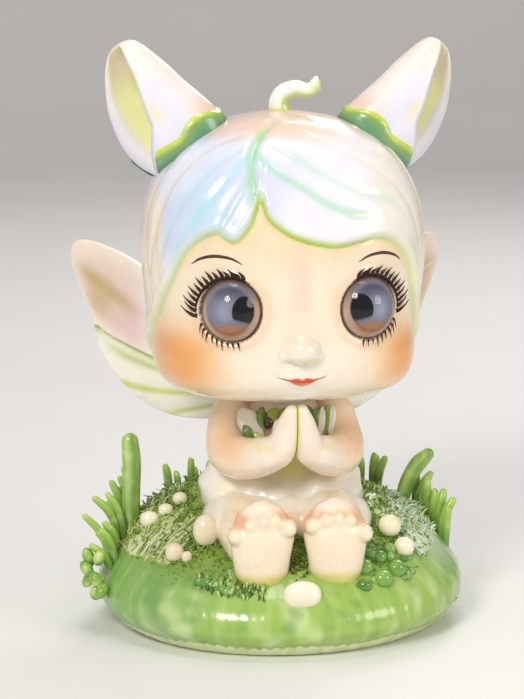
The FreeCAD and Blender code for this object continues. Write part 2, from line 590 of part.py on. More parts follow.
def build_ear():
    """A cupped animal ear that turns on a round peg, with a moss trim painted round its foot."""
    outer = skin(ear_rings(0, 0), ear_point(-7, 0), ear_point(32.2, -0.6))
    cup_rings = ear_rings(EAR_WALL, 6.5)[2:]
    cup = skin(cup_rings, ear_point(1.5, 8.0, -2.6), ear_point(30.6, 4.0, -2.0))
    ear = outer.cut(cup)
    trim = skin(ear_rings(-0.7, 0)[:3], ear_point(-7, 0), ear_point(5.0, 0))
    trim = trim.cut(outer).cut(cup)
    head = head_solid(HAIR_THICKNESS + 0.3)
    centre = ear_point(0, 0)
    for step in (-1, -0.5, 0, 0.5, 1):
        tool = turned(head, centre, EAR_AXIS, EAR_SWIVEL * step)
        ear, trim = ear.cut(tool), trim.cut(tool)
    ear = largest(ear)
    trim = largest(trim)
    save_pair("ear", ear.fuse(ear_peg(EAR_PEG_RADIUS, -10.5, 2.0)))
    save_pair("ear_trim", trim)
    save_pair("ear_clip", ear_peg(5.4, -10.4, -9.2).cut(ear_peg(EAR_PEG_RADIUS, -12, 0)))


def build_eyes(inner):
    """Glass cabochon, iris disc, pupil, the cup that holds them, and the lashes on the face."""
    centre, look = eye_frame()

    def disc(radius, back, front, side=0.0):
        aside = Vec(look.y, -look.x, 0) * side
        return pin(radius, centre + look * back + aside, centre + look * front + aside)

    dome = Part.makeSphere(EYE_RADIUS, centre)
    save_pair("eye_lens", dome.common(disc(EYE_RADIUS + 1, -1.0, EYE_RADIUS + 1)))
    save_pair("pupil", disc(2.7, -1.3, -1.0, 1.6))
    save_pair("iris", disc(7.6, -1.9, -1.3))
    cup = disc(EYE_RADIUS + 1.2, -3.4, 1.4).cut(disc(EYE_RADIUS + 0.05, -1.9, 2.0))
    save_pair("eye_cup", cup.common(inner))
    ring = disc(EYE_RADIUS + 1.9, 0, 12).cut(disc(EYE_RADIUS + 0.2, -1, 13))
    ring = ring.common(head_solid(0.6)).cut(head_solid(0.02))
    lid = ring.cut(half_space(-5, -60, 60, EYE_X - 6.5, 0, 120))
    save_pair("lashes", lid.cut(half_space(-5, -60, 60, 60, 0, EYE_Z - 6.0)))


def build_head():
    face, hair, inner = head_solid(), head_solid(HAIR_THICKNESS), head_solid(-HEAD_WALL)
    front_half = half_space(-60, -60, 40, 60, SEAM_Y, 170)
    rear_half = half_space(-60, SEAM_Y, 40, 60, 60, 170)
    centre, look = eye_frame()
    sprout_hole = neck_column(SPROUT_PEG_RADIUS + RUNNING_GAP, 130, 150)
    ear_holes = [ear_peg(EAR_PEG_RADIUS + RUNNING_GAP, -14, 12)]
    ear_holes.append(mirrored(ear_holes[0]))
    eye_hole = pin(EYE_RADIUS + 0.1, centre - look, centre + look * 20)

    nose = blob(0, 0.6 - head_front(0, NOSE_LEVEL), NOSE_Z, NOSE_RADIUS + 0.6, NOSE_RADIUS, 3.0,
                NOSE_RADIUS, NOSE_RADIUS)
    shell = face.fuse(nose).cut(inner).common(front_half)
    shell = shell.cut(neck_column(NECK_HOLE_RADIUS, 60, 75)).cut(sprout_hole)
    for tool in ear_holes + [eye_hole, mirrored(eye_hole)]:
        shell = shell.cut(tool)
    save("face_shell", shell)

    save("head_back", hair.cut(inner).common(rear_half))
    layer = hair.cut(face).common(front_half).common(hair_region())
    for tool in ear_holes + [sprout_hole]:
        layer = layer.cut(tool)
    parted = half_space(-60, -60, 60, PARTING_X, 60, 170)
    save("hair_front_right", layer.common(parted))
    save("hair_front_left", layer.cut(parted))

    build_eyes(inner)
    bush = ear_peg(6.2, -8.8, 4).cut(ear_peg(EAR_PEG_RADIUS + RUNNING_GAP, -12, 5)).common(inner)
    save_pair("ear_bush", bush)


def build_sprout():
    """A curled shoot that turns on a peg in the crown of the head."""
    top = HEAD_TOP_Z + HAIR_THICKNESS
    shoot = rod([(-0.6, 0, top + 0.6), (-0.9, 0, top + 2.6), (0.6, 0, top + 4.8), (3.4, 0, top + 5.6),
                 (6.2, 0, top + 5.2), (8.4, 0, top + 6.0), (8.9, 0, top + 8.2)],
                [2.7, 2.5, 2.3, 2.1, 2.0, 1.7, 0.9])
    shoot = shoot.cut(head_solid(HAIR_THICKNESS + 0.3))
    shoot = largest(shoot)
    save("sprout", shoot.fuse(neck_column(SPROUT_PEG_RADIUS, top - 3.6, top + 2.0)))


def main():
    os.makedirs(OUT, exist_ok=True)
    body = build_base()
    build_torso(body)
    build_legs(body)
    build_neck()
    build_clothes(torso_solid())
    build_arms()
    build_wings()
    build_head()
    build_ear()
    build_sprout()


main()
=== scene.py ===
import math
import random

import bpy
import numpy as np
from mathutils import Matrix, Vector


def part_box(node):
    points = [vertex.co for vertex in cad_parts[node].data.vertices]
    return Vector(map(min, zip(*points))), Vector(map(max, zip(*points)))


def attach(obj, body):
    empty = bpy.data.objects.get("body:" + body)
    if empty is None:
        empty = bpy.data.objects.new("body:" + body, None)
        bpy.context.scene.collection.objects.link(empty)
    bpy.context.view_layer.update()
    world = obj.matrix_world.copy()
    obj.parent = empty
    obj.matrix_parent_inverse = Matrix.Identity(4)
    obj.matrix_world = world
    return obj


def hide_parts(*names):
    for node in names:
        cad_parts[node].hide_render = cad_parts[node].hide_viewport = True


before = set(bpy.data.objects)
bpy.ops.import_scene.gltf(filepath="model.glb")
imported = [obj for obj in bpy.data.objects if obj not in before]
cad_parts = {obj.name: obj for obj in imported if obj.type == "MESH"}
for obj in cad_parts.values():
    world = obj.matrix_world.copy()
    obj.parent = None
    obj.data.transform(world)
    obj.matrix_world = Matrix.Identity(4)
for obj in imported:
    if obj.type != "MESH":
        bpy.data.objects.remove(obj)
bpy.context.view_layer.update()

MM = 0.001
LEFT, RIGHT = 1, -1
SIDES = (("left", LEFT), ("right", RIGHT))

# ---- driving sizes ------------------------------------------------------------------------------
HEAD_POWER = 2.4
HEAD_LEVELS = np.array([      # z, half width, front, rear
    (64.9, 21.0, 18.0, 17.0), (66.5, 29.5, 26.0, 23.5), (70.2, 33.8, 31.0, 28.0),
    (76.3, 35.2, 33.0, 31.0), (84.0, 34.8, 33.2, 32.4), (92.0, 35.2, 32.8, 33.4),
    (100.0, 36.0, 32.4, 34.0), (108.0, 36.0, 31.6, 34.0), (115.5, 34.8, 30.0, 32.8),
    (122.5, 32.0, 27.2, 30.0), (128.5, 27.4, 23.0, 25.8), (133.2, 21.2, 17.6, 19.8),
    (136.4, 13.0, 10.8, 12.0)])
HEAD_LOW, HEAD_HIGH = 64.5, 138.2
HAIR_RISE = 1.4
MOUTH_Z = 73.1
EYE_X, EYE_Z, EYE_TURN = 17.8, 91.0, 15.0
EYE_RADIUS = 8.0
EYE_NARROW, EYE_TALL = 0.95, 1.01
DOME_RADIUS, DOME_SINK = 9.4, 5.0      # the polished dome, flatter and wider than the eyeball behind it
DOME_REACH = 64                        # degrees from where the eye looks to the dome's edge
DISC_GAP = 0.25                        # from the dome's surface down to the printed disc


# ---- numbers ------------------------------------------------------------------------------------
def smooth(low, high, value):
    """0 below low, 1 above high, with an even slope at both ends."""
    k = np.clip((np.asarray(value, float) - low) / (high - low), 0, 1)
    return k * k * (3 - 2 * k)


def bell(*terms):
    """1 where every value is at its centre, falling away smoothly; a term is (value, centre, width)."""
    return np.exp(-sum(((value - centre) / width) ** 2 for value, centre, width in terms))


def curve(points, count):
    """A smooth curve through points (Catmull-Rom), sampled evenly between them."""
    p = np.asarray(points, float)
    p = np.vstack([2 * p[0] - p[1], p, 2 * p[-1] - p[-2]])
    place = np.linspace(0, len(p) - 3 - 1e-9, count)
    i = place.astype(int)
    t = (place - i)[:, None]
    a, b, c, d = p[i], p[i + 1], p[i + 2], p[i + 3]
    return 0.5 * (2 * b + (c - a) * t + (2 * a - 5 * b + 4 * c - d) * t ** 2
                  + (3 * b - a - 3 * c + d) * t ** 3)


def waves(x, y, z, scale, seed=0):
    """Cheap smooth noise between about -1 and 1 on arrays of places."""
    rng = random.Random(seed)
    total = 0
    for octave in range(5):
        fx, fy, fz = (rng.uniform(-1, 1) for _ in range(3))
        size = (1.0 + 0.55 * octave) * 2 * math.pi / scale
        total = total + np.sin((fx * x + fy * y + fz * z) * size + rng.uniform(0, 6.3)) / (1 + 0.4 * octave)
    return total / 2.2


def spread(count, shares, values):
    """Values that hold at shares of a length, spread evenly over count places."""
    return np.interp(np.linspace(0, 1, count), shares, values)


def path_distance(points, path):
    """Distance from each point to a path of straight runs, and the share of the path there."""
    best = np.full(len(points), 1e9)
    share = np.zeros(len(points))
    runs = len(path) - 1
    for i in range(runs):
        a, b = path[i], path[i + 1]
        ab = b - a
        t = np.clip(((points - a) @ ab) / max(ab @ ab, 1e-9), 0, 1)
        gap = np.linalg.norm(points - (a + t[:, None] * ab), axis=1)
        near = gap < best
        best = np.where(near, gap, best)
        share = np.where(near, (i + t) / runs, share)
    return best, share


def unit(vectors):
    """Each vector at length 1."""
    return vectors / np.maximum(np.linalg.norm(vectors, axis=-1, keepdims=True), 1e-9)


# ---- colours ------------------------------------------------------------------------------------
CREAM, SKIN, PEACH = (253, 236, 212), (251, 224, 190), (248, 196, 148)
BLUSH, PINK, MILK = (240, 152, 62), (238, 196, 188), (248, 240, 228)
LAVENDER, AQUA, PEARL = (212, 218, 250), (176, 230, 234), (242, 240, 248)
LIME, MINT = (196, 214, 84), (152, 224, 164)
STRAW, UMBER, LIP = (226, 216, 150), (62, 44, 36), (216, 98, 60)


def srgb(r, g, b):
    """Linear colour from the usual 0 to 255 values."""
    return np.array([((v / 255 + 0.055) / 1.055) ** 2.4 if v > 10 else v / 3294.6 for v in (r, g, b)])


def tint(base, colour, amount):
    """Moves linear base towards linear colour by amount at each vertex."""
    amount = np.clip(np.asarray(amount, float), 0, 1)
    if amount.ndim:
        amount = amount[:, None]
    return base * (1 - amount) + colour * amount


def coated(base, *coats):
    """Paint under thin coats; a coat is its colour, 0 to 255, and how far it covers each vertex."""
    for colour, amount in coats:
        base = tint(base, srgb(*colour), amount)
    return base


def flat_paint(points, colour):
    """One linear colour for every point."""
    return np.tile(colour, (len(points), 1))


def painted(points, colour, *coats):
    """One colour, 0 to 255, for every point, under thin coats."""
    return coated(flat_paint(points, srgb(*colour)), *coats)


# ---- materials ----------------------------------------------------------------------------------
def set_sockets(node, **values):
    """Sets plain values on a node's own sockets; underscores stand for spaces in their names."""
    for name, value in values.items():
        node.inputs[name.replace("_", " ")].default_value = value


def new_material(name):
    material = bpy.data.materials.new(name)
    material.use_nodes = True
    tree = material.node_tree
    return material, tree, tree.nodes["Principled BSDF"]


def grain(tree, scale, detail=3.0):
    """A noise texture in the piece's own space."""
    place = tree.nodes.new("ShaderNodeTexCoord")
    noise = tree.nodes.new("ShaderNodeTexNoise")
    set_sockets(noise, Scale=scale, Detail=detail)
    tree.links.new(place.outputs["Object"], noise.inputs["Vector"])
    return noise.outputs["Fac"]


def ranged(tree, source, low, high):
    node = tree.nodes.new("ShaderNodeMapRange")
    set_sockets(node, From_Min=0.3, From_Max=0.7, To_Min=low, To_Max=high)
    tree.links.new(source, node.inputs["Value"])
    return node.outputs["Result"]


def two_tone(tree, shader, scale, detail, dark, light, low=0.34, high=0.66):
    """Colours the shader with two colours, mixed by noise."""
    ramp = tree.nodes.new("ShaderNodeValToRGB")
    for element, position, colour in zip(ramp.color_ramp.elements, (low, high), (dark, light)):
        element.position = position
        element.color = (*colour, 1)
    tree.links.new(grain(tree, scale, detail), ramp.inputs["Fac"])
    tree.links.new(ramp.outputs["Color"], shader.inputs["Base Color"])


def finish_surface(tree, shader, roughness, bump_scale, bump_depth):
    """Uneven gloss, and the faint orange peel of cast and sprayed vinyl."""
    tree.links.new(ranged(tree, grain(tree, 90.0), roughness * 0.75, roughness * 1.35),
                   shader.inputs["Roughness"])
    bump = tree.nodes.new("ShaderNodeBump")
    set_sockets(bump, Strength=0.35, Distance=bump_depth)
    tree.links.new(grain(tree, bump_scale, 2.0), bump.inputs["Height"])
    tree.links.new(bump.outputs["Normal"], shader.inputs["Normal"])


def painted_vinyl(name, roughness=0.24, coat=0.6, bump_scale=1400.0, bump_depth=0.00004, glow=0.0, shine=0.5):
    """Glossy vinyl coloured by the piece's own paint layer, with a slight mottle."""
    material, tree, shader = new_material(name)
    paint = tree.nodes.new("ShaderNodeVertexColor")
    paint.layer_name = "paint"
    mottle = tree.nodes.new("ShaderNodeMix")
    mottle.data_type = "RGBA"
    mottle.blend_type = "MULTIPLY"
    factor, first, second, mixed = mottle.inputs[0], mottle.inputs[6], mottle.inputs[7], mottle.outputs[2]
    factor.default_value = 1.0
    tree.links.new(paint.outputs["Color"], first)
    tree.links.new(ranged(tree, grain(tree, 160.0, 4.0), 0.93, 1.0), second)
    tree.links.new(mixed, shader.inputs["Base Color"])
    set_sockets(shader, Specular_IOR_Level=shine, Coat_Weight=coat, Coat_Roughness=0.06)
    if glow:
        set_sockets(shader, Subsurface_Weight=glow, Subsurface_Radius=(1.0, 0.5, 0.3), Subsurface_Scale=0.002)
    finish_surface(tree, shader, roughness, bump_scale, bump_depth)
    return material


def mixed_vinyl(name, dark, light, scale=120.0, roughness=0.25, coat=0.5, metal=0.0):
    """Two colours mixed by noise, for the CAD nodes that are shown as they are."""
    material, tree, shader = new_material(name)
    two_tone(tree, shader, scale, 5.0, srgb(*dark), srgb(*light))
    set_sockets(shader, Coat_Weight=coat, Coat_Roughness=0.08, Metallic=metal)
    finish_surface(tree, shader, roughness, 900.0, 0.00008)
    return material


def clear_dome(name):
    """The polished clear dome over an iris."""
    material, tree, shader = new_material(name)
    set_sockets(shader, Base_Color=(0.03, 0.03, 0.04, 1), Alpha=0.17, IOR=1.9, Coat_IOR=1.9, Coat_Weight=1.0,
                Coat_Roughness=0.01)
    finish_surface(tree, shader, 0.03, 300.0, 0.000004)
    return material


# ---- pieces -------------------------------------------------------------------------------------
def piece(name, verts, faces, material, body, slot, nodes=(), paint=None):
    """A shown mesh that rides on a body, with its paint, in place of CAD nodes."""
    mesh = bpy.data.meshes.new(name)
    mesh.from_pydata((np.asarray(verts) * MM).tolist(), [], faces)
    mesh.update()
    mesh.shade_smooth()
    if paint is not None:
        layer = mesh.color_attributes.new("paint", "FLOAT_COLOR", "POINT")
        layer.data.foreach_set("color", np.hstack([paint, np.ones((len(paint), 1))]).ravel())
    mesh.materials.append(material)
    obj = bpy.data.objects.new(name, mesh)
    bpy.context.scene.collection.objects.link(obj)
    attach(obj, body)
    if nodes:
        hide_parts(*nodes)


def mirrored(verts, faces, side):
    """Vertices and faces of the left-hand piece, or of its mirror image."""
    if side == LEFT:
        return verts, faces
    return verts * np.array([-1, 1, 1]), [tuple(reversed(f)) for f in faces]


def pair(name, verts, faces, material, body, slot, nodes, paint=None):
    """A left-hand piece and its mirror image; in the names, an asterisk stands for the side."""
    for word, side in SIDES:
        piece(name.replace("*", word), *mirrored(verts, faces, side), material, body.replace("*", word), slot,
              [node.replace("*", word) for node in nodes], paint)


def skin(rings, low=None, high=None):
    """Vertices and faces over rings of points (rows, count, 3), closed at the ends that are given."""
    rows, count, _ = rings.shape
    verts = rings.reshape(-1, 3)
    faces = []
    for r in range(rows - 1):
        a, b = r * count, (r + 1) * count
        faces += [(a + k, a + (k + 1) % count, b + (k + 1) % count, b + k) for k in range(count)]
    if low is not None:
        verts = np.vstack([verts, low])
        faces += [(len(verts) - 1, (k + 1) % count, k) for k in range(count)]
    if high is not None:
        verts = np.vstack([verts, high])
        a = (rows - 1) * count
        faces += [(len(verts) - 1, a + k, a + (k + 1) % count) for k in range(count)]
    return verts, faces


def capped(rings):
    """A skin over rings, closed at both ends at the middle of the last ring there."""
    return skin(rings, rings[0].mean(0), rings[-1].mean(0))


def with_ends(grid):
    """Values over a grid of rings, followed by those of the two closing points."""
    return np.append(grid.ravel(), [grid[0, 0], grid[-1, 0]])


def cut_out(verts, faces):
    """Only the vertices that the faces use, the faces with their new numbers, and the old numbers."""
    used = sorted({i for face in faces for i in face})
    place = {old: new for new, old in enumerate(used)}
    return verts[used], [tuple(place[i] for i in face) for face in faces], used


def ring_normals(rings):
    """Outward normals of rings that run anticlockwise seen from above, lowest ring first."""
    return unit(np.cross(np.roll(rings, -1, 1) - np.roll(rings, 1, 1), np.gradient(rings, axis=0)))


def joined(parts):
    """Several (vertices, faces) as one."""
    verts, faces, start = [], [], 0
    for v, f in parts:
        verts.append(v)
        faces += [tuple(i + start for i in face) for face in f]
        start += len(v)
    return np.vstack(verts), faces


def round_angles(count):
    return np.arange(count) * 2 * math.pi / count


def tube(path, radii, count=12, side=(0, 1, 0), flat=1.0, round_ends=True):
    """A tube along path; flat below 1 makes it thinner across side."""
    path, radii = np.asarray(path, float), np.asarray(radii, float)
    along = unit(np.gradient(path, axis=0))
    across = unit(np.cross(along, np.asarray(side, float)))
    other = np.cross(across, along)
    rows = [(p, r, i) for i, (p, r) in enumerate(zip(path, radii))]
    low, high = path[0], path[-1]
    if round_ends:
        lean = [(math.sin(math.radians(k)), math.cos(math.radians(k))) for k in (30, 55, 80)]
        rows = ([(low - along[0] * radii[0] * s, radii[0] * c, 0) for s, c in reversed(lean)] + rows
                + [(high + along[-1] * radii[-1] * s, radii[-1] * c, -1) for s, c in lean])
        low, high = low - along[0] * radii[0], high + along[-1] * radii[-1]
    cosine, sine = np.cos(round_angles(count))[:, None], np.sin(round_angles(count))[:, None]
    rings = [p + r * (cosine * across[i] + flat * sine * other[i]) for p, r, i in rows]
    return skin(np.array(rings), low, high)


def ridge(path, normals, widths, height, sink=0.25):
    """A slim raised line that lies on a surface, pointed where its width runs out."""
    path, normals = np.asarray(path, float), np.asarray(normals, float)
    across = unit(np.cross(normals, np.gradient(path, axis=0)))
    half = np.asarray(widths, float)[:, None] / 2
    lift = np.minimum(height, half * 1.2)
    rings = np.stack([path - across * half, path - normals * sink, path + across * half,
                      path + normals * lift], axis=1)
    return skin(rings, path[0], path[-1])


def ellipsoid(centre, radii, rows=10, count=14, turn=None):
    """A rounded lump; turn is an optional 3 by 3 matrix."""
    tilt = (np.arange(rows) + 0.5) / rows * math.pi - math.pi / 2
    ball = np.array([[(math.cos(t) * math.cos(a), math.cos(t) * math.sin(a), math.sin(t))
                      for a in round_angles(count)] for t in tilt])
    ends = np.array([(0, 0, -1.0), (0, 0, 1.0)])
    radii = np.asarray(radii, float)
    ball, ends = ball * radii, ends * radii
    if turn is not None:
        ball, ends = ball @ np.asarray(turn).T, ends @ np.asarray(turn).T
    return skin(ball + np.asarray(centre), ends[0] + centre, ends[1] + centre)


def melted(parts, voxel=0.7, rounds=8):
    """Overlapping solids melted into one smooth skin."""
    verts, faces = joined(parts)
    mesh = bpy.data.meshes.new("melt")
    mesh.from_pydata(verts.tolist(), [], faces)
    obj = bpy.data.objects.new("melt", mesh)
    bpy.context.scene.collection.objects.link(obj)
    remesh = obj.modifiers.new("remesh", "REMESH")
    remesh.mode = "VOXEL"
    remesh.voxel_size = voxel
    relax = obj.modifiers.new("relax", "SMOOTH")
    relax.factor = 0.6
    relax.iterations = rounds
    graph = bpy.context.evaluated_depsgraph_get()
    result = bpy.data.meshes.new_from_object(obj.evaluated_get(graph))
    points = np.empty(len(result.vertices) * 3)
    result.vertices.foreach_get("co", points)
    polygons = [tuple(p.vertices) for p in result.polygons]
    bpy.data.objects.remove(obj)
    bpy.data.meshes.remove(mesh)
    bpy.data.meshes.remove(result)
    return points.reshape(-1, 3), polygons


# ---- head: one surface that the face, the hair and the eyes share -------------------------------
def head_profile(count):
    """Half width, front, rear and z of the head, from its lowest point to its highest."""
    levels = HEAD_LEVELS[:, (1, 2, 3, 0)]
    flip = np.array([-1, -1, -1, 1])
    stations = [levels[0] * flip, (0, 0, 0, HEAD_LOW), *levels, (0, 0, 0, HEAD_HIGH), levels[-1] * flip]
    fine = curve(stations, 1601)
    fine = fine[fine[:, 0] > 0.4]
    run = np.concatenate([[0], np.cumsum(np.linalg.norm(np.diff(fine[:, [0, 3]], axis=0), axis=1))])
    place = np.linspace(0, run[-1], count)
    return np.stack([np.interp(place, run, fine[:, k]) for k in range(4)], axis=1)


def head_rings(rows=236, count=336, crowd=0.5):
    """The head's rings; columns crowd together at the middle of the face."""
    u = np.arange(count) / count
    angle = -math.pi / 2 + 2 * math.pi * (u - crowd * np.sin(2 * math.pi * u) / (2 * math.pi))
    c, s = np.cos(angle), np.sin(angle)
    bend = 2 / HEAD_POWER
    w, f, r, z = head_profile(rows).T
    x = w[:, None] * (np.sign(c) * np.abs(c) ** bend)
    y = np.where(s < 0, f[:, None], r[:, None]) * (np.sign(s) * np.abs(s) ** bend)
    return np.stack([x, y, np.broadcast_to(z[:, None], x.shape)], axis=2)


PROFILE = head_profile(900)


def face_y(x, z):
    """The head's front surface over (x, z)."""
    w = np.interp(z, PROFILE[:, 3], PROFILE[:, 0])
    f = np.interp(z, PROFILE[:, 3], PROFILE[:, 1])
    inside = np.clip(1 - (np.abs(x) / w) ** HEAD_POWER, 1e-4, 1)
    return -f * inside ** (1 / HEAD_POWER)


def on_face(points):
    """Points (x, z) laid on the head's front, and the outward normals there."""
    x, z = np.asarray(points, float).T
    e = 0.2
    slope_x = (face_y(x + e, z) - face_y(x - e, z)) / (2 * e)
    slope_z = (face_y(x, z + e) - face_y(x, z - e)) / (2 * e)
    normals = unit(np.stack([slope_x, -np.ones(len(x)), slope_z], axis=1))
    return np.stack([x, face_y(x, z), z], axis=1), normals


def azimuth(points):
    """Degrees round the head from the middle of the face, towards the figure's left."""
    return np.degrees(np.arctan2(points[..., 0], -points[..., 1]))


HAIRLINE = np.array([     # degrees round the head, height of the hair's edge
    (-180, 67.0), (-120, 70.5), (-98, 76.5), (-84, 82.5), (-74, 87), (-67, 91.5), (-60.5, 96), (-56, 100.5),
    (-50.5, 105.6), (-44, 108.9), (-38, 110.4), (-34.6, 109.4), (-30.5, 108.2), (-26.5, 109.6),
    (-22.5, 113), (-19.4, 118.0), (-16, 114.6), (-11, 111.9), (-4, 109.5), (6, 107.7), (16.5, 106.9),
    (26.5, 107.8), (35.6, 108.6), (43, 107.5), (49.5, 104.2), (54.3, 99.5), (58.5, 93.9), (63, 88),
    (70, 83), (80, 78.6), (95, 74), (120, 69.5), (180, 67.0)])
DEGREE = 0.6              # millimetres round the head to a degree


def hair_edge_distance(points):
    """Roughly how far inside the hair (positive) each point lies, in millimetres."""
    line = curve(HAIRLINE, 640)
    around = azimuth(points)
    edge = np.interp(around, line[:, 0], line[:, 1])
    slope = np.interp(around, line[:, 0], np.gradient(line[:, 1], line[:, 0] * DEGREE))
    return (points[..., 2] - edge) / np.sqrt(1 + slope ** 2)


PARTING = [(-10.7, 116.5), (-11.6, 120.6), (-11.9, 125.4), (-11.0, 129.6), (-8.0, 133.8), (-3.0, 137.0)]
LOCKS = [   # path on the front, depth, width, colour, strength of the colour
    (PARTING, 0.8, 1.3, (160, 222, 140), 0.8),
    ([(-10.4, 129.4), (-6.5, 125.8), (0.4, 121.7), (6.5, 117.7), (14, 114.8), (20, 114.6)], 0.45, 1.2, MINT,
     0.85),
    ([(-8, 133), (-0.5, 128.6), (8, 123.5), (16, 120), (24, 117.5), (29, 112)], 0.3, 1.2, MINT, 0.5),
    ([(-2, 135.6), (9, 131.5), (19, 126), (27, 119.5), (31.6, 110), (33, 100)], 0.28, 1.1, CREAM, 0.7),
    ([(-12.4, 124), (-16, 118.5), (-19, 113.5), (-21, 109.8)], 0.45, 1.0, MINT, 0.55),
    ([(-12.6, 128.6), (-18.5, 122.5), (-24.5, 115.5), (-29.5, 106.5), (-32.6, 97)], 0.4, 1.3, AQUA, 0.95),
    ([(-11, 131.6), (-19.5, 126.8), (-27, 119), (-31.8, 109.5), (-34, 99)], 0.3, 1.1, AQUA, 0.7),
    ([(-9, 134.4), (-20.5, 130.2), (-29.4, 122), (-34, 110.5), (-35.2, 98), (-34.6, 88)], 0.4, 0.9, STRAW,
     0.9)]


def eye_distance(x, z):
    """Distance from the nearer eye's centre over (x, z), in millimetres across the opening's radius."""
    share = np.hypot((np.abs(x) - EYE_X) / EYE_NARROW, (z - EYE_Z) / EYE_TALL) / EYE_RADIUS
    return EYE_RADIUS * share


def face_height(x, z):
    """How far the modelled features stand out of the plain head, over (x, z) on its front."""
    side = np.abs(x)
    nose = 1 - (x / 4.9) ** 2 - np.where(z < 80.4, ((z - 80.4) / 3.1) ** 2, ((z - 80.4) / 4.6) ** 2)
    nostril = 1 - ((side - 3.9) / 1.8) ** 2 - ((z - 79.5) / 1.6) ** 2
    rise = np.maximum(3.8 * np.clip(nose, 0, 1) ** 0.66, 1.5 * np.clip(nostril, 0, 1) ** 0.7)
    rise = rise + 0.55 * bell((x, 0, 2.8), (z, 86, 4.5))
    rise = rise + 1.0 * bell((x, 0, 6.5), (z, MOUTH_Z, 3.0))
    rise = rise - 0.35 * bell((x, 0, 0.7), (z, MOUTH_Z + 3, 1.1))
    rise = rise + 0.8 * bell((x, 0, 5.0), (z, 68.4, 2.0))
    rise = rise + 0.9 * bell((side, 27, 9), (z, 75, 7))
    rise = rise - 0.4 * bell((side, 6.9, 0.9), (z, MOUTH_Z + 1.1, 0.9))
    apart = eye_distance(x, z)
    return rise + 0.45 * bell((apart, 9.3, 0.9)) - 2.6 * smooth(8.15, 7.6, apart)


def face_paint(points):
    x, y, z = points.T
    side, edge, apart = np.abs(x), hair_edge_distance(points), eye_distance(x, z)
    off_77, off_76 = np.maximum(np.abs(z - 77) - 2, 0), np.maximum(np.abs(z - 76.5) - 2, 0)
    cheek = bell((np.maximum(29 - side, 0), 0, 9.5), (off_77, 0, 8))
    blush = bell((np.maximum(29.5 - side, 0), 0, 6.5), (off_76, 0, 5.5))
    return painted(
        points, CREAM,
        (SKIN, 0.9 * smooth(97, 107, z)),
        (MILK, 0.8 * bell((x, 0, 15), (z, 74, 10))),
        (SKIN, 0.5 * bell((side, 9.5, 3.5), (z, 94, 6))),
        ((250, 196, 120), 0.8 * cheek),
        (BLUSH, 0.68 * blush * smooth(4, -14, y)),
        (PINK, 0.45 * bell((x, 0, 3.2), (z, 97, 9))),
        (PEACH, 0.35 * bell((x, 0, 4.6), (z, 83.6, 1.6))),
        # painted shade under the nose, a little towards the figure's left
        (STRAW, 0.35 * bell((x, 1.0, 3.6), (z, 78.0, 1.3))),
        ((240, 222, 150), 0.3 * smooth(-2.6, -0.3, edge)),
        (LIME, 0.3 * smooth(-1.0, -0.1, edge)),
        (PEACH, 0.4 * bell((apart, 9.6, 1.2)) * (y < 0)),
        ((112, 84, 70), 0.85 * smooth(8.25, 8.1, apart) * (y < 0)))


def build_mouth(material):
    """The two painted lips, modelled as slim tapered swellings, and the smile line past them."""
    count = 41
    x = 3.7 * np.linspace(-1, 1, count)
    side = np.abs(x)
    line = MOUTH_Z + 0.016 * x ** 2 - 0.15 * bell((x, 0, 0.8))
    bow = 0.95 * np.clip(1 - (side / 3.8) ** 1.5, 0.01, 1) - 0.4 * bell((x, 0, 0.6))
    pout = 1.1 * np.clip(1 - (side / 3.2) ** 2.6, 0.01, 1)
    angle = round_angles(14)
    parts = []
    for middle, half in ((line + bow / 2, bow / 2 + 0.05), (line - pout / 2, pout / 2 + 0.05)):
        places, normals = on_face(np.stack([x, middle], 1))
        places = places + normals * 0.85
        up = unit(-np.cross(np.array([1.0, 0, 0]), normals))
        half = half[:, None]
        rings = (places[:, None] + up[:, None] * (half * np.sin(angle))[..., None]
                 + normals[:, None] * ((0.35 + 0.3 * half) * np.cos(angle))[..., None])
        parts.append(capped(rings))
    verts, faces = joined(parts)
    paint = painted(verts, LIP, ((244, 150, 120), 0.5 * smooth(MOUTH_Z - 0.4, MOUTH_Z - 1.2, verts[:, 2])))
    piece("lips", verts, faces, material, "head", "skin_vinyl", (), paint)
    x = np.linspace(-6.3, 6.3, count)
    z = MOUTH_Z + 0.022 * x ** 2
    places, normals = on_face(np.stack([x, z], 1))
    widths = 0.5 * np.sin(np.linspace(0.05, math.pi - 0.05, count)) ** 0.5
    verts, faces = ridge(places + normals * (face_height(x, z) + 0.04)[:, None], normals, widths, 0.08, 0.3)
    piece("smile_line", verts, faces, material, "head", "skin_vinyl", (), painted(verts, (184, 92, 52)))


def build_face(material):
    """The bare head, with nose, lips, chin, cheeks and eye sockets modelled into it."""
    rings = head_rings()
    normal = ring_normals(rings)
    x, y, z = np.moveaxis(rings, 2, 0)
    facing = smooth(0.15, 0.6, -normal[..., 1])
    verts, faces = capped(rings + normal * (face_height(x, z) * facing * (y < 0))[..., None])
    piece("face", verts, faces, material, "head", "skin_vinyl", ["face_shell"], face_paint(verts))


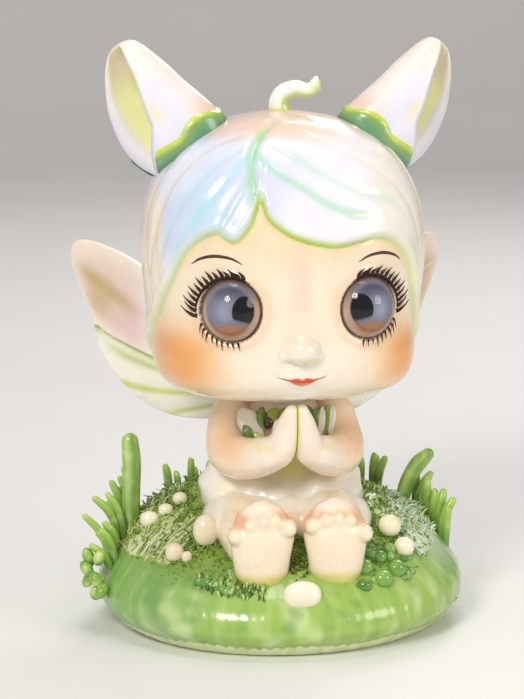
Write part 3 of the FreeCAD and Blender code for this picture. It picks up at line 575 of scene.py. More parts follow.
def hair_paint(points, locks):
    x, y, z = points.T
    edge = hair_edge_distance(points)
    near = bell((azimuth(points), -2, 26))      # 1 by the parting, 0 at the sides
    ahead = smooth(40, 10, y)
    stains = []
    for path, _, width, stain, strength in locks:
        gap, share = path_distance(points, path)
        stains.append((stain, strength * bell((gap, 0, width * 1.15)) * smooth(1.0, 0.8, share)))
    return painted(
        points, PEARL,
        (LAVENDER, 0.8 * smooth(0.3, 0.8, waves(x, y, z, 60, 3) * 0.5 + 0.5) * smooth(10, -14, x)),
        (AQUA, 0.4 * bell((x, -24, 7), (z, 116, 9))),
        (MILK, smooth(12, 27, x)),
        (CREAM, 0.9 * smooth(32.5, 35.5, np.abs(x)) * smooth(16, -8, y)),
        (PEACH, 0.6 * smooth(131.5, 137.5, z + waves(x, y, z, 30, 5))),
        (MILK, 0.6 * smooth(10, 26, y)),
        *stains,
        ((218, 232, 150), (0.35 + 0.45 * near) * smooth(2.6, 0.8, edge) * ahead),
        ((180, 206, 62), (0.35 + 0.6 * near) * smooth(1.0 + 0.7 * near, 0.3, edge) * ahead),
        (STRAW, 0.7 * smooth(1.2, 0.2, edge) * smooth(-10, 10, y)))


def build_hair(material):
    """The parted fringe with its side hair, and the rear cap, raised over the bare head."""
    rings = head_rings()
    points = rings.reshape(-1, 3)
    _, y, z = points.T
    edge = hair_edge_distance(points)
    locks = [(on_face(curve(path, 26))[0], *rest) for path, *rest in LOCKS]
    rise = HAIR_RISE * (1 - (1 - np.clip(edge / 2.2, 0, 1)) ** 2) - 0.7 * smooth(0.0, -1.2, edge)
    rise = rise + 0.35 * bell((edge, 1.9, 1.3)) * (y < 5)
    for path, depth, width, _, _ in locks:
        gap, share = path_distance(points, path)
        rise = rise - depth * bell((gap, 0, width)) * smooth(0, 0.12, share) * smooth(1.0, 0.85, share)
    around = azimuth(points)
    beside = smooth(58, 80, np.abs(around))
    sweep = np.radians(around) + 0.05 * np.sin(z / 14) + 0.02 * np.sin(z / 5 + around / 40)
    combed = 0.6 * np.sin(sweep * 24) + 0.25 * np.sin(sweep * 57 + 1) + 0.15 * np.sin(sweep * 113 + z / 9)
    rise = rise + 0.45 * combed * beside * smooth(137, 124, z) * smooth(1, 4, edge)
    verts, faces = capped(rings + ring_normals(rings) * rise.reshape(rings.shape[:2])[..., None])
    kept = np.append(edge, [-9, 9]) > -2.2
    part_x = np.interp(verts[:, 2], [p[1] for p in PARTING], [p[0] for p in PARTING])
    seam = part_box("head_back")[0].y / MM
    ahead, right = verts[:, 1] <= seam, verts[:, 0] < part_x
    valleys = np.append(smooth(0.2, -0.8, combed) * beside, [0, 0])
    paint = coated(hair_paint(verts, locks), (STRAW, 0.22 * valleys))
    for node, chosen in (("hair_front_right", ahead & right), ("hair_front_left", ahead & ~right),
                         ("head_back", ~ahead)):
        own = [f for f in faces if all(kept[i] for i in f) and chosen[f[0]]]
        cut_verts, cut_faces, used = cut_out(verts, own)
        piece(node + "_locks", cut_verts, cut_faces, material, "head", "hair_vinyl", [node], paint[used])


# ---- eyes ---------------------------------------------------------------------------------------
def eye_frame():
    """Centre of the left eyeball, and its outward, upward and looking directions."""
    turn = math.radians(EYE_TURN)
    look = np.array([math.sin(turn), -math.cos(turn), 0])
    aside = np.array([math.cos(turn), math.sin(turn), 0])
    centre = np.array([EYE_X, face_y(EYE_X, EYE_Z), EYE_Z]) - look * DOME_SINK
    return centre, aside, np.array([0, 0, 1.0]), look


def dome(radius, rows=40, count=96):
    """A cap of the eyeball, and each vertex's place on it, outward and upward."""
    centre, aside, up, look = eye_frame()
    tilt = np.radians(np.linspace(DOME_REACH, 1.2, rows))[:, None]
    angle = -round_angles(count)
    a, b, d = np.sin(tilt) * np.cos(angle), np.sin(tilt) * np.sin(angle), np.cos(tilt) * np.ones(count)
    rings = centre + radius * ((a * EYE_NARROW)[..., None] * aside + (b * EYE_TALL)[..., None] * up
                               + d[..., None] * look)
    foot = centre + look * radius * math.cos(math.radians(DOME_REACH)) * 0.98
    verts, faces = skin(rings, foot, centre + look * radius)
    return verts, faces, np.append(a, [0, 0]), np.append(b, [0, 0])


def iris_paint(a, b):
    """Colours over the eye, with painted shade of the lid over its upper part; a runs outward and b upward,
    both 1 at the rim.
    """
    radius, turn = np.hypot(a, b), np.arctan2(b, a)
    iris = np.hypot(a - 0.02, (b - 0.08) / 1.02)
    spokes = 0.5 + 0.5 * np.sin(turn * 38 + 3 * np.sin(turn * 5))
    crescent = smooth(-0.26, -0.50, b + 0.40 * a ** 2) * smooth(0.88, 0.76, radius)
    pupil = np.hypot((a + 0.45) / 0.37, (b - 0.05) / 0.50)
    slant = smooth(0.06, -0.06, b + 0.30 - 0.3 * (a + 0.5))
    return painted(
        a, (210, 180, 156),
        # painted shade of the lid and lashes: the upper half of the disc darkened, the upper iris more so
        ((120, 104, 100), 0.85 * smooth(0.0, 0.8, b)),
        ((142, 142, 162), smooth(0.86, 0.79, iris)),
        ((62, 58, 74), 0.75 * smooth(0.25, 0.78, b) * smooth(0.84, 0.66, iris)),
        ((182, 190, 216), 0.7 * bell((a, 0.28, 0.34), (b, 0.02, 0.40))),
        ((80, 74, 98), 0.3 * spokes * smooth(0.28, 0.5, iris) * smooth(0.76, 0.64, iris)),
        ((198, 134, 84), 0.85 * crescent),
        ((150, 86, 50), 0.5 * bell((iris, 0.78, 0.05)) * smooth(0.1, -0.4, b)),
        ((2, 2, 5), smooth(1.04, 0.96, pupil) * (1 - slant)),
        ((228, 196, 172), 0.75 * smooth(0.86, 0.92, radius) * smooth(0.3, -0.4, b)),
        ((112, 88, 76), 0.8 * smooth(0.965, 1.0, radius)))


def eye_places(radius, degrees):
    """Places round the left eye, 1 at its rim, laid on the face, with normals."""
    turn = np.radians(degrees)
    x = EYE_X + EYE_NARROW * EYE_RADIUS * radius * np.cos(turn)
    z = EYE_Z + EYE_TALL * EYE_RADIUS * radius * np.sin(turn)
    return on_face(np.stack([x, z], 1))


def lash(root, tip, root_degrees, tip_degrees, width, lift=0.35):
    """One curved lash from the lid outward."""
    share = np.linspace(0, 1, 7)
    places, normals = eye_places(root + (tip - root) * share,
                                 root_degrees + (tip_degrees - root_degrees) * share ** 1.7)
    places = places + normals * (lift + 0.9 * share ** 2)[:, None]
    return ridge(places, normals, width * np.array([1.0, 0.96, 0.84, 0.68, 0.5, 0.3, 0.08]), 0.35, 0.2)


def build_lashes(material):
    """The dark upper lid with its fan of spiky lashes, and the fine lower lashes."""
    degrees = np.linspace(-20, 130, 44)
    places, normals = eye_places(1.10 - 0.04 * smooth(60, 130, degrees), degrees)
    widths = 1.2 * np.sin(np.clip((degrees + 20) / 150, 0, 1) * math.pi) ** 0.7 + 0.1
    parts = [ridge(places + normals * 0.05, normals, widths, 0.6, 0.4)]
    for k in range(15):
        start = -12 + 8.8 * k
        length = 0.33 - 0.17 * smooth(7, 14, k) - 0.08 * (k % 2)
        parts.append(lash(1.08, 1.15 + length, start, start + 15 - 1.9 * k, 1.25))
    for k in range(9):
        start = -26 - 9.5 * k
        parts.append(lash(1.0, 1.17 + 0.05 * (k % 3), start, start - 13 + 1.4 * k, 0.6, 0.6))
    verts, faces = joined(parts)
    pair("*_lash_fan", verts, faces, material, "head", "lash_plastic", ["*_lashes"], painted(verts, UMBER))


def build_eyes(iris_material, lens_material):
    """A printed disc, with painted shade at its top, just under each polished dome."""
    verts, faces, a, b = dome(DOME_RADIUS - DISC_GAP)
    lens_verts, lens_faces, _, _ = dome(DOME_RADIUS)
    rim = EYE_RADIUS / DOME_RADIUS
    paint = iris_paint(a / rim, b / rim)
    for name, side in SIDES:
        piece(name + "_iris_disc", *mirrored(verts, faces, side), iris_material, "head", "iris_print",
              [name + "_iris", name + "_pupil"], paint)
        piece(name + "_eye_dome", *mirrored(lens_verts, lens_faces, side), lens_material, "head", "eye_glass",
              [name + "_eye_lens"])


def build_brows(material):
    path = curve([(-2.8, 12.0), (0.3, 13.5), (4.2, 13.9), (7.5, 13.0), (9.6, 11.4)], 22)
    places, normals = on_face(path + np.array([EYE_X, EYE_Z]))
    widths = 0.85 * np.sin(np.linspace(0.06, math.pi - 0.05, 22)) ** 0.7
    verts, faces = ridge(places, normals, widths, 0.16, 0.2)
    pair("*_brow", verts, faces, material, "head", "lash_plastic", (), painted(verts, (92, 64, 52)))


# ---- animal ears --------------------------------------------------------------------------------
EAR_FOOT = np.array([24.9, 2.0, 131.2])
EAR_AXIS = np.array([0.6, 0.0, 0.8])
EAR_OUT = np.array([0.8, 0.0, -0.6])
EAR_YAW = math.radians(22)           # turn about the ear's axis that swings its outer edge back
EAR_REAR_RIM = math.radians(-6.0)    # where the rear rim is round the ear, from straight out
EAR_FRONT_RIM = ((-4, 30), (2, 58), (10, 90), (24, 108), (30, 108))    # along the axis, degrees forward
EAR_OUTLINE = np.array([    # along the axis, inner edge, outer edge, half depth, depth of the cup
    (-5.5, -9.4, 10.6, 8.0, 0.15), (-2.0, -11.2, 13.2, 8.6, 0.5), (3.0, -11.8, 15.2, 8.8, 0.9),
    (8.5, -10.8, 15.4, 8.6, 1.0), (14.0, -9.4, 14.3, 8.2, 1.0), (19.5, -8.4, 12.2, 7.4, 1.0),
    (24.0, -7.2, 9.4, 6.4, 0.95), (27.4, -6.2, 6.9, 5.0, 0.85), (29.6, -5.2, 4.7, 3.6, 0.6),
    (30.9, -4.0, 3.0, 2.2, 0.3), (31.6, -2.2, 1.2, 0.9, 0.05)])


def turned(u, v, angle):
    """The place (u, v) turned by angle."""
    return u * math.cos(angle) - v * math.sin(angle), u * math.sin(angle) + v * math.cos(angle)


def ear_rings(rows=90, wall=44, cup=44):
    """Crescent-shaped rings: round the back of the ear, then back along the lining of its cup."""
    rings = []
    for along, low, high, depth, hollow in curve(EAR_OUTLINE, rows):
        front = -math.radians(np.interp(along, *zip(*EAR_FRONT_RIM)))
        facing, half_mouth = (EAR_REAR_RIM + front) / 2, (EAR_REAR_RIM - front) / 2
        chord = math.cos(half_mouth)
        ring = [(math.cos(a), math.sin(a)) for a in np.linspace(EAR_REAR_RIM, front + 2 * math.pi, wall)]
        for a in np.linspace(front, EAR_REAR_RIM, cup + 2)[1:-1]:
            # the lining sinks from the mouth's chord almost to the far wall
            across = math.sin(a - facing) / math.sin(half_mouth)
            reach = chord - hollow * (chord + 0.74) * (1 - across ** 2) ** 0.62
            ring.append(turned(reach, math.sin(a - facing) * 0.93, facing))
        middle, half = (low + high) / 2, (high - low) / 2
        ring = [turned(half * u, depth * v, EAR_YAW) for u, v in ring]
        rings.append([EAR_FOOT + EAR_AXIS * along + EAR_OUT * (middle + u) + np.array([0, v, 0])
                      for u, v in ring])
    return np.array(rings), wall


def ear_coordinates(points):
    """Distance along the ear's axis, outward across it, and back."""
    local = points - EAR_FOOT
    return local @ EAR_AXIS, local @ EAR_OUT, local[..., 1]


def ear_paint(points, lining):
    along, out, _ = ear_coordinates(points)
    spot = bell((along, 12.5, 3.4), (out, 2.5, 1.5)) * (points[:, 1] < 2)
    fold = bell((out + 0.12 * along, 3.0, 1.8))
    wall = painted(
        points, (238, 236, 250),
        (MILK, smooth(16, 27, along)),
        ((250, 236, 226), 0.8 * smooth(-2, -6, out)),
        ((244, 200, 176), 0.75 * bell((along, 5, 3.5), (out, -9, 3.5))),
        ((246, 236, 176), 0.75 * spot))
    cup = painted(
        points, (250, 248, 186),
        ((236, 224, 196), smooth(18, 27, along)),
        ((246, 243, 214), 0.75 * smooth(8, 14, out)),
        ((170, 190, 90), 0.6 * fold * smooth(27, 20, along)),
        ((206, 160, 120), 0.6 * bell((along, 4, 4)) * fold))
    return tint(wall, cup, lining)


def trim_edge(points):
    """How far below the scalloped upper edge of the moss trim each point lies."""
    along, out, back = ear_coordinates(points)
    round_ear = np.arctan2(back, out)
    scallops = 1.5 * np.abs(np.sin(round_ear * 2.5 + 0.4)) + 0.9 * np.sin(round_ear * 3 + 1.0)
    return 3.4 + scallops - along


def trim_paint(points):
    edge = trim_edge(points)
    return painted(
        points, (132, 172, 96),
        ((96, 156, 120), 0.8 * smooth(2.0, 4.0, edge)),
        ((206, 224, 90), smooth(1.9, 0.4, edge)),
        ((150, 196, 190), 0.6 * smooth(0.4, 0.9, waves(*points.T, 7, 11))),
        ((70, 96, 44), 0.7 * smooth(1.0, -1.5, ear_coordinates(points)[0])))


def build_ears(ear_material, trim_material):
    """The cupped ears, and the scalloped moss round the foot of their backs."""
    rings, wall = ear_rings()
    verts, faces = skin(rings, rings[0].mean(0), rings[-1].mean(0) + EAR_AXIS * 0.15)
    lining = np.zeros(rings.shape[:2])
    lining[:, wall:] = 1.0
    lining[:, wall] = lining[:, -1] = 0.3
    paint = ear_paint(verts, np.append(lining, [0, 0]))
    edge = trim_edge(rings)
    rise = 0.75 * (1 - (1 - np.clip(edge / 1.4, 0, 1)) ** 2) - 0.5 * smooth(0, -0.8, edge)
    rise = rise + 0.16 * waves(*np.moveaxis(rings, 2, 0), 3.2, 7) * smooth(0.4, 1.2, edge)
    back = slice(1, wall - 1)
    shell = (rings + ring_normals(rings) * rise[..., None])[:, back]
    kept = (edge > -1.0)[:, back]
    width = kept.shape[1]
    corners = [r * width + k for r in range(len(kept) - 1) for k in range(width - 1)
               if kept[r:r + 2, k:k + 2].all()]
    trim_faces = [(a, a + 1, a + 1 + width, a + width) for a in corners]
    trim_verts, trim_faces, _ = cut_out(shell.reshape(-1, 3), trim_faces)
    trim_colours = trim_paint(trim_verts)
    for name, side in SIDES:
        piece(name + "_ear_cup", *mirrored(verts, faces, side), ear_material, name + "_ear", "ear_vinyl",
              [name + "_ear"], paint)
        piece(name + "_ear_moss", *mirrored(trim_verts, trim_faces, side), trim_material, name + "_ear",
              "leaf_paint", [name + "_ear_trim"], trim_colours)


def build_sprout(material):
    top = HEAD_HIGH + HAIR_RISE
    stations = ((-0.4, -1.2), (-1.0, 1.6), (0.2, 4.2), (3.2, 5.4), (6.2, 5.0), (8.4, 5.8), (9.0, 8.0))
    path = curve([(x, 0, top + rise) for x, rise in stations], 46)
    radii = spread(46, [0, 0.18, 0.5, 0.72, 0.86, 0.95, 1], [3.0, 2.7, 2.4, 1.9, 1.9, 1.5, 0.8])
    verts, faces = tube(path, radii, 24, (0, 1, 0), 0.85)
    x, _, z = verts.T
    paint = painted(
        verts, (246, 247, 238),
        ((176, 204, 96), 0.85 * smooth(0.2, -1.6, z - np.interp(x, path[:, 0], path[:, 2]))),
        (LIME, 0.8 * smooth(top + 1.2, top - 0.4, z)),
        ((214, 230, 160), 0.7 * smooth(6.5, 8.5, x) * smooth(top + 8, top + 5.5, z)))
    piece("sprout_curl", verts, faces, material, "sprout", "sprout_vinyl", ["sprout"], paint)


# ---- wings --------------------------------------------------------------------------------------
WING_ROOT = np.array([5.0, 19.0, 56.0])
WING_SWEEP = math.radians(32)
WING_OUT = np.array([math.cos(WING_SWEEP), math.sin(WING_SWEEP), 0])
WING_AHEAD = np.array([math.sin(WING_SWEEP), -math.cos(WING_SWEEP), 0])
WING_THICK = 1.9
FORE_LOW = [(1, 2.4), (14, 4.5), (26, 9.5), (38, 14.0), (47, 18.5), (51.5, 26), (54.2, 32), (55.8, 36.2),
            (56.2, 38.8)]
FORE_HIGH = [(1, 6.0), (17, 11.0), (21.5, 20), (25.5, 29.5), (31, 35.5), (38, 39.6), (46, 42.6), (50.5, 43.6),
             (53.5, 43.4), (55.4, 41.8), (56.2, 38.8)]
HIND_LOW = [(1, 0.2), (9, -4.6), (18, -6.2), (28, -5.4), (37, -1.6), (44, 5.0), (48.6, 12.2), (50.0, 17.6),
            (50.4, 19.8)]
HIND_HIGH = [(1, 3.6), (18, 8.4), (32, 14), (43, 19.6), (47.5, 21.6), (49.6, 21.6), (50.4, 19.8)]
VEINS = (-24, -9, 3, 13.5, 21)       # degrees above level, seen from the hindwing's root


def wing_grid(low, high, rows=120, count=44):
    """Sections over a wing: place outward, place up, share across, lens-shaped offset, and side."""
    low, high = curve(low, 300), curve(high, 300)
    reach = low[-1, 0]
    along = low[0, 0] + (reach - low[0, 0]) * np.sin(np.linspace(0, math.pi / 2 - 0.03, rows))
    bottom = np.interp(along, low[:, 0], low[:, 1])
    top = np.interp(along, high[:, 0], high[:, 1])
    share = (1 - np.cos(np.linspace(0, math.pi, count))) / 2
    across = np.repeat(np.concatenate([share, share[-2:0:-1]])[None], rows, 0)
    sign = np.repeat(np.concatenate([np.ones(count), -np.ones(count - 2)])[None], rows, 0)
    s = np.repeat(along[:, None], across.shape[1], 1)
    full = (1 - (2 * across - 1) ** 4) ** 0.5 * smooth(reach + 0.2, reach - 4, s) ** 0.5
    return s, bottom[:, None] + (top - bottom)[:, None] * across, across, WING_THICK / 2 * full * sign, sign


def wing_points(s, t, offset):
    """Places s outward and t up from the wing's root, and offset ahead of its bowed sheet."""
    ahead = offset + 0.03 * (s - 30) ** 2 / 30
    sheet = WING_ROOT + s[..., None] * WING_OUT + np.stack([0 * s, 0 * s, t], -1)
    return sheet + ahead[..., None] * WING_AHEAD


def build_forewings(material):
    s, t, across, offset, sign = wing_grid(FORE_LOW, FORE_HIGH)
    rim = 1 - smooth(0.0, 0.2, across) * smooth(1.0, 0.72, across) * smooth(55.5, 48, s)
    fold = bell((t - 0.62 * (s - 14), 12, 1.7))
    offset = offset + (0.75 * rim - 0.35 * fold) * (sign > 0) * smooth(8, 22, s)
    verts, faces = capped(wing_points(s, t, offset + WING_THICK / 2))
    s, t, across = (with_ends(grid) for grid in (s, t, across))
    inside = smooth(0.02, 0.2, across) * smooth(0.98, 0.7, across) * smooth(56, 49, s)
    paint = painted(
        verts, (246, 230, 214),
        # painted shade: the recess inside the raised rim, darker in a line just under the fold and in the
        # recess towards the tip
        ((232, 208, 196), 0.8 * inside),
        ((198, 172, 118), 0.9 * bell((t - 0.66 * (s - 20), 13.5, 2.6)) * inside * smooth(28, 40, s)),
        ((206, 178, 128), 0.8 * inside * bell((s, 47, 5), (t, 27, 7))),
        ((232, 190, 196), 0.7 * bell((s, 36, 5), (t, 20, 7))),
        (MILK, 0.85 * smooth(39, 28, s)),
        *(((198, 212, 110), 0.75 * bell((t, level, 0.55)) * smooth(33, 27, s)) for level in (11.0, 15.5)),
        ((246, 240, 226), 0.6 * smooth(0.06, 0.0, across)))
    pair("*_forewing_skin", verts, faces, material, "base", "wing_vinyl", ["*_forewing"], paint)


def build_hindwings(material):
    s, t, across, offset, sign = wing_grid(HIND_LOW, HIND_HIGH)
    bend = np.degrees(np.arctan2(t - 2.0, s + 4.0)) + 5 * np.sin(s / 16)
    groove = sum(bell((bend, v, 1.7)) for v in VEINS)
    offset = offset - 0.42 * groove * sign * smooth(4, 14, s) * smooth(0, 0.12, across)
    pleats = np.cos(np.radians(bend * 18)) * smooth(10, 24, s) * smooth(0, 0.15, across)
    offset = offset + 0.35 * sign * pleats
    verts, faces = capped(wing_points(s, t, offset - WING_THICK / 2))
    s, t, bend = (with_ends(grid) for grid in (s, t, bend))
    shown = smooth(48, 40, s) * smooth(5, 12, s)
    below = t - np.interp(s, *zip(*FORE_LOW[:5]))      # height over the forewing's lower edge
    stains = ((202, 216, 100), (190, 214, 124))
    paint = painted(
        verts, (250, 248, 232),
        *((stains[k % 2], 0.85 * bell((bend, v, 1.6)) * shown) for k, v in enumerate(VEINS)),
        ((246, 248, 240), 0.5 * bell((bend, -3, 2.0))),
        # painted shadow: a dark line just under the forewing's lower edge
        ((104, 122, 40), 0.9 * bell((below, -0.3, 0.55)) * smooth(14, 22, s)),
        ((190, 208, 96), 0.6 * bell((below, -1.2, 1.2)) * smooth(14, 22, s)),
        ((206, 232, 206), 0.5 * smooth(16, 4, s)))
    pair("*_hindwing_skin", verts, faces, material, "base", "wing_vinyl", ["*_hindwing"], paint)


# ---- seated figure ------------------------------------------------------------------------------
TORSO = np.array([    # z, half width, front, rear, centre y
    (26.0, 16.0, 12.0, 12.0, 1.0), (29.5, 20.5, 16.0, 15.0, 1.0), (34.0, 22.4, 16.8, 16.0, 1.0),
    (39.0, 22.3, 14.0, 15.2, 1.5), (42.5, 20.4, 11.0, 13.4, 1.8), (47.0, 15.8, 9.2, 11.4, 1.5),
    (53.0, 12.4, 8.6, 10.0, 1.0), (58.0, 11.6, 7.6, 8.8, 0.8), (61.6, 8.6, 6.0, 6.8, 0.5),
    (62.7, 3.0, 3.0, 3.0, 0.5)])
ARM = [    # x, y, z, radius
    (12.8, 0.4, 60.2, 4.6), (14.2, -0.8, 57.0, 5.7), (15.3, -3.0, 52.7, 5.8), (15.6, -7.0, 49.1, 6.0),
    (13.6, -11.8, 48.1, 5.9), (9.9, -16.4, 48.9, 5.5), (6.2, -20.2, 50.8, 5.0)]
PALM_X = 0.1      # half the gap between the two palms
TOES = (   # x, z, radius
    (3.2, 33.8, 2.3), (6.6, 35.4, 2.0), (10.0, 35.8, 1.9), (13.4, 34.8, 1.9), (17.2, 31.6, 2.1))


def build_torso(material):
    """Chest and romper, with soft folds pulled towards the hips."""
    z, w, f, r, cy = curve(TORSO, 130).T[..., None]
    c, s = np.cos(round_angles(160)), np.sin(round_angles(160))
    rings = np.stack([w * c, cy + np.where(s < 0, f, r) * s, z + 0 * c], 2)
    x, y, z = np.moveaxis(rings, 2, 0)
    low = smooth(47, 40, z)
    folds = 0.35 * np.sin(x * 0.36 + z * 0.42 + 1.3 * np.sin(z * 0.32)) * low
    folds = folds + 0.22 * np.sin(x * 0.8 - z * 0.6 + 2.0) * low * smooth(3, -4, y)
    verts, faces = capped(rings + ring_normals(rings) * folds[..., None])
    x, y, z = verts.T
    paint = painted(
        verts, (246, 226, 202),
        ((252, 246, 234), smooth(47, 42, z)),
        ((248, 234, 196), 0.45 * smooth(0.3, 0.9, waves(x, y, z, 24, 21)) * smooth(46, 40, z)),
        (LIME, 0.9 * bell((x, 0, 7.0), (z, 45.0, 3.0)) * (y < 0)),
        ((244, 232, 150), 0.6 * bell((x, 0, 9), (z, 43.5, 2.6)) * (y < 0)),
        (PEACH, 0.7 * bell((np.abs(x), 11, 3), (z, 52, 4)) * (y < 0)),
        ((230, 190, 150), 0.5 * smooth(33, 28, z)))
    piece("torso_skin", verts, faces, material, "base", "skin_vinyl", ["torso"], paint)


def build_arms(material):
    """Plump bent arms whose mitten hands are pressed together, palm to palm."""
    path = curve(ARM, 26)
    palm = curve([(4.4, -21.4, 51.4), (2.6, -23.2, 55.8), (1.7, -24.2, 60.2), (1.2, -24.8, 62.8)], 10)
    parts = [tube(path[:, :3], path[:, 3], 20, (1, 0.2, 0)),
             tube(palm, [4.3, 4.2, 4.1, 3.9, 3.7, 3.5, 3.2, 2.9, 2.6, 2.3], 16, (1, 0, 0)),
             ellipsoid((3.8, -19.6, 57.0), (2.0, 1.8, 3.4))]
    verts, faces = melted(parts, 0.55, 9)
    verts[:, 0] = np.where(verts[:, 1] < -12, np.maximum(verts[:, 0], PALM_X), verts[:, 0])
    x, y, z = verts.T
    paint = painted(
        verts, (253, 234, 210),
        (PEACH, 0.75 * bell((x, 17, 5), (z, 52, 6))),
        ((252, 236, 222), 0.7 * smooth(-17, -24, y)),
        ((240, 170, 110), 0.6 * smooth(13, 9.5, x) * smooth(-12, -4, y)),
        ((226, 228, 130), 0.8 * smooth(1.2, 0.2, x) * (y < -12)),
        (LIME, 0.8 * bell((x, 0, 4.5), (z, 46.6, 1.8)) * (y < -14)),
        ((226, 214, 110), 0.5 * bell((x, 8.4, 2.4), (z, 53.2, 1.0)) * (y < -12)))
    pair("*_arm_skin", verts, faces, material, "*_arm", "skin_vinyl", ["*_arm"], paint)


def build_legs(material):
    """Short thighs and feet with chubby toes; the soles face forward."""
    thigh = curve([(13.0, 1, 30.6), (13.0, -8, 30.4), (12.2, -17, 29.4), (10.8, -24, 27.4)], 14)
    foot = curve([(9.6, -28.4, 17.6), (9.8, -28.8, 21.0), (9.9, -29.0, 26.0), (9.8, -28.8, 30.0),
                  (9.7, -28.4, 32.4)], 18)
    width = spread(18, [0, 0.2, 0.6, 0.85, 1], [5.4, 6.9, 8.2, 8.8, 8.0])
    for name, side in SIDES:
        parts = [tube(thigh, spread(14, [0, 0.6, 1], [8.0, 8.0, 7.6]), 20, (0, 0, 1)),
                 tube(foot, width, 24, (0, 1, 0), 0.62)]
        for k, (x, z, r) in enumerate(TOES):
            lean = 0.4 * math.sin(k * 2.4 + side)
            parts.append(ellipsoid((x, -30.6 + lean, z + 0.5 * lean), (r, r * 1.7, r * 1.15)))
        parts.append(ellipsoid((8.0, -32.0, 31.2), (2.3, 1.9, 2.3)))
        verts, faces = melted(parts, 0.5, 4)
        verts[:, 0] = np.maximum(verts[:, 0], 0.2)
        verts, faces = mirrored(verts, faces, side)
        x, y, z = verts.T
        between = smooth(32.6, 34.6, z) * smooth(-33.4, -31.2, y) * smooth(-17, -24, y)
        paint = painted(
            verts, (253, 236, 208),
            ((246, 184, 136), 0.85 * between * smooth(-0.8, 0.3, waves(x, y, z, 9, 61))),
            ((252, 240, 224), 0.7 * smooth(36.5, 39, z)),
            ((246, 214, 178), 0.5 * smooth(24, 18, z)),
            ((226, 214, 110), 0.75 * smooth(22.2, 20.0, z + 0.3 * waves(x, y, z, 6, 2))))
        piece(name + "_leg_skin", verts, faces, material, "base", "skin_vinyl", [name + "_leg"], paint)


def build_lap(material):
    """The romper's lap, drawn smoothly over both thighs."""
    parts = [ellipsoid((side * 10.6, -8.5, 30.2), (12.6, 16.0, 8.0), 16, 30) for _, side in SIDES]
    parts.append(ellipsoid((0, -6.5, 31.0), (13.5, 13.5, 7.8), 16, 30))
    verts, faces = melted(parts, 0.8, 12)
    x, y, z = verts.T
    folds = 0.16 * np.sin(x * 0.45 + y * 0.3) + 0.1 * np.sin(x * 0.9 - y * 0.45 + 1)
    verts[:, 2] = z + folds * smooth(30, 36, z)
    paint = painted(
        verts, (250, 242, 226),
        ((248, 228, 176), 0.5 * smooth(0.1, 0.9, waves(x, y, z, 22, 22))),
        ((246, 206, 170), 0.6 * smooth(-16, -22, y)))
    piece("romper_lap", verts, faces, material, "base", "skin_vinyl", (), paint)


def leaf_shape(base, tip, width, thick, droop, rows=14, count=12):
    """A pointed leaf from base to tip with a sunken midrib, its flat side forward."""
    base, tip = np.asarray(base, float), np.asarray(tip, float)
    along = tip - base
    across = unit(np.cross((0, -1.0, 0), along))
    out = unit(np.cross(along, across))
    rings = []
    for t in np.linspace(0.04, 0.97, rows):
        half = width / 2 * math.sin(math.pi * t ** 0.8) ** 0.8
        middle = base + along * t + out * droop * math.sin(math.pi * t)
        bulge = thick / 2 * (half / width * 2) ** 0.5
        rings.append([middle + across * half * math.cos(a)
                      + out * (bulge * math.sin(a) - 0.3 * thick * bell((math.cos(a), 0, 0.3)))
                      for a in round_angles(count)])
    return skin(np.array(rings), base, tip)


def build_clothes(material, bead_material):
    """Leaves round the neck, and the leaves and the bead on the chest."""
    shapes, stains = [], []

    def add(base, tip, width, thick, stain, droop=0.3):
        shapes.append(leaf_shape(base, tip, width, thick, droop))
        stains.append(painted(shapes[-1][0], stain))

    greens = ((150, 178, 60), (196, 206, 70), (120, 152, 44), (176, 196, 90))
    for i in range(9):
        angle = math.radians(-90 + (i - 4) * 22)
        x, y = math.cos(angle), math.sin(angle)
        tip = (9.6 * x, 9.6 * y - 0.4, 55.0 - 0.5 * (i % 2))
        add((7.2 * x, 7.0 * y + 0.6, 60.2), tip, 4.6, 1.4, greens[i % 4])
    white, dark = (244, 242, 232), (96, 128, 34)
    add((-12.4, -6.6, 60.4), (-6.8, -10.6, 51.2), 6.2, 1.3, white, 0.8)
    add((-11.8, -9.4, 56.4), (-9.2, -11.4, 51.6), 2.6, 1.1, dark)
    add((-9.2, -10.6, 54.6), (-6.0, -11.8, 50.6), 2.2, 1.0, (190, 204, 80))
    add((-8.0, -9.2, 59.4), (-6.6, -10.4, 55.2), 1.8, 1.0, (120, 156, 60))
    for k, (x, stain) in enumerate(((6.6, dark), (8.4, white), (9.8, (132, 160, 52)), (11.4, white))):
        add((x + 1.4, -8.6 + 0.5 * k, 60.6), (x, -10.4 + 0.4 * k, 50.6 + 0.5 * k), 2.3, 1.1, stain)
    verts, faces = joined(shapes)
    paint = coated(np.vstack(stains), ((232, 234, 170), 0.4 * smooth(0.2, 0.9, waves(*verts.T, 4.0, 31))))
    piece("collar_leaves", verts, faces, material, "base", "leaf_paint", ["leaf_collar", "chest_leaves"],
          paint)
    low, high = (np.array(corner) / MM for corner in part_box("chest_bead"))
    verts, faces = ellipsoid((low + high) / 2, (high - low) / 2 * np.array([1.05, 1.1, 1.05]), 18, 24)
    # painted light: the black bead's top half painted a lighter brown
    pearl = painted(verts, (34, 30, 20), ((78, 66, 44), smooth(-1, 1, verts[:, 2] - verts[:, 2].mean())))
    piece("chest_pearl", verts, faces, bead_material, "base", "bead_plastic", ["chest_bead"], pearl)


# ---- hill ---------------------------------------------------------------------------------------
HILL_HALF_WIDTH, HILL_HALF_DEPTH = 48.0, 41.0
HILL_WAIST, HILL_TOP, HILL_UNDERCUT = 7.0, 37.0, 13.0
HILL_BULGE, BULGE_Z, BULGE_SPREAD = 0.055, 12.0, 6.5     # share by which the side swells, and where
FOOT_TUCK = 0.055           # share by which the foot draws in
HILL_CENTRE_Y, HILL_CREST_SHIFT, HILL_POWER = 1.0, 12.0, 2.3
BAND_TOP = 3.0              # height of the pale ragged band round the foot of the hill
PLATE_OVAL = (39.0, 31.0)
PLATE_RECESS = 2.4


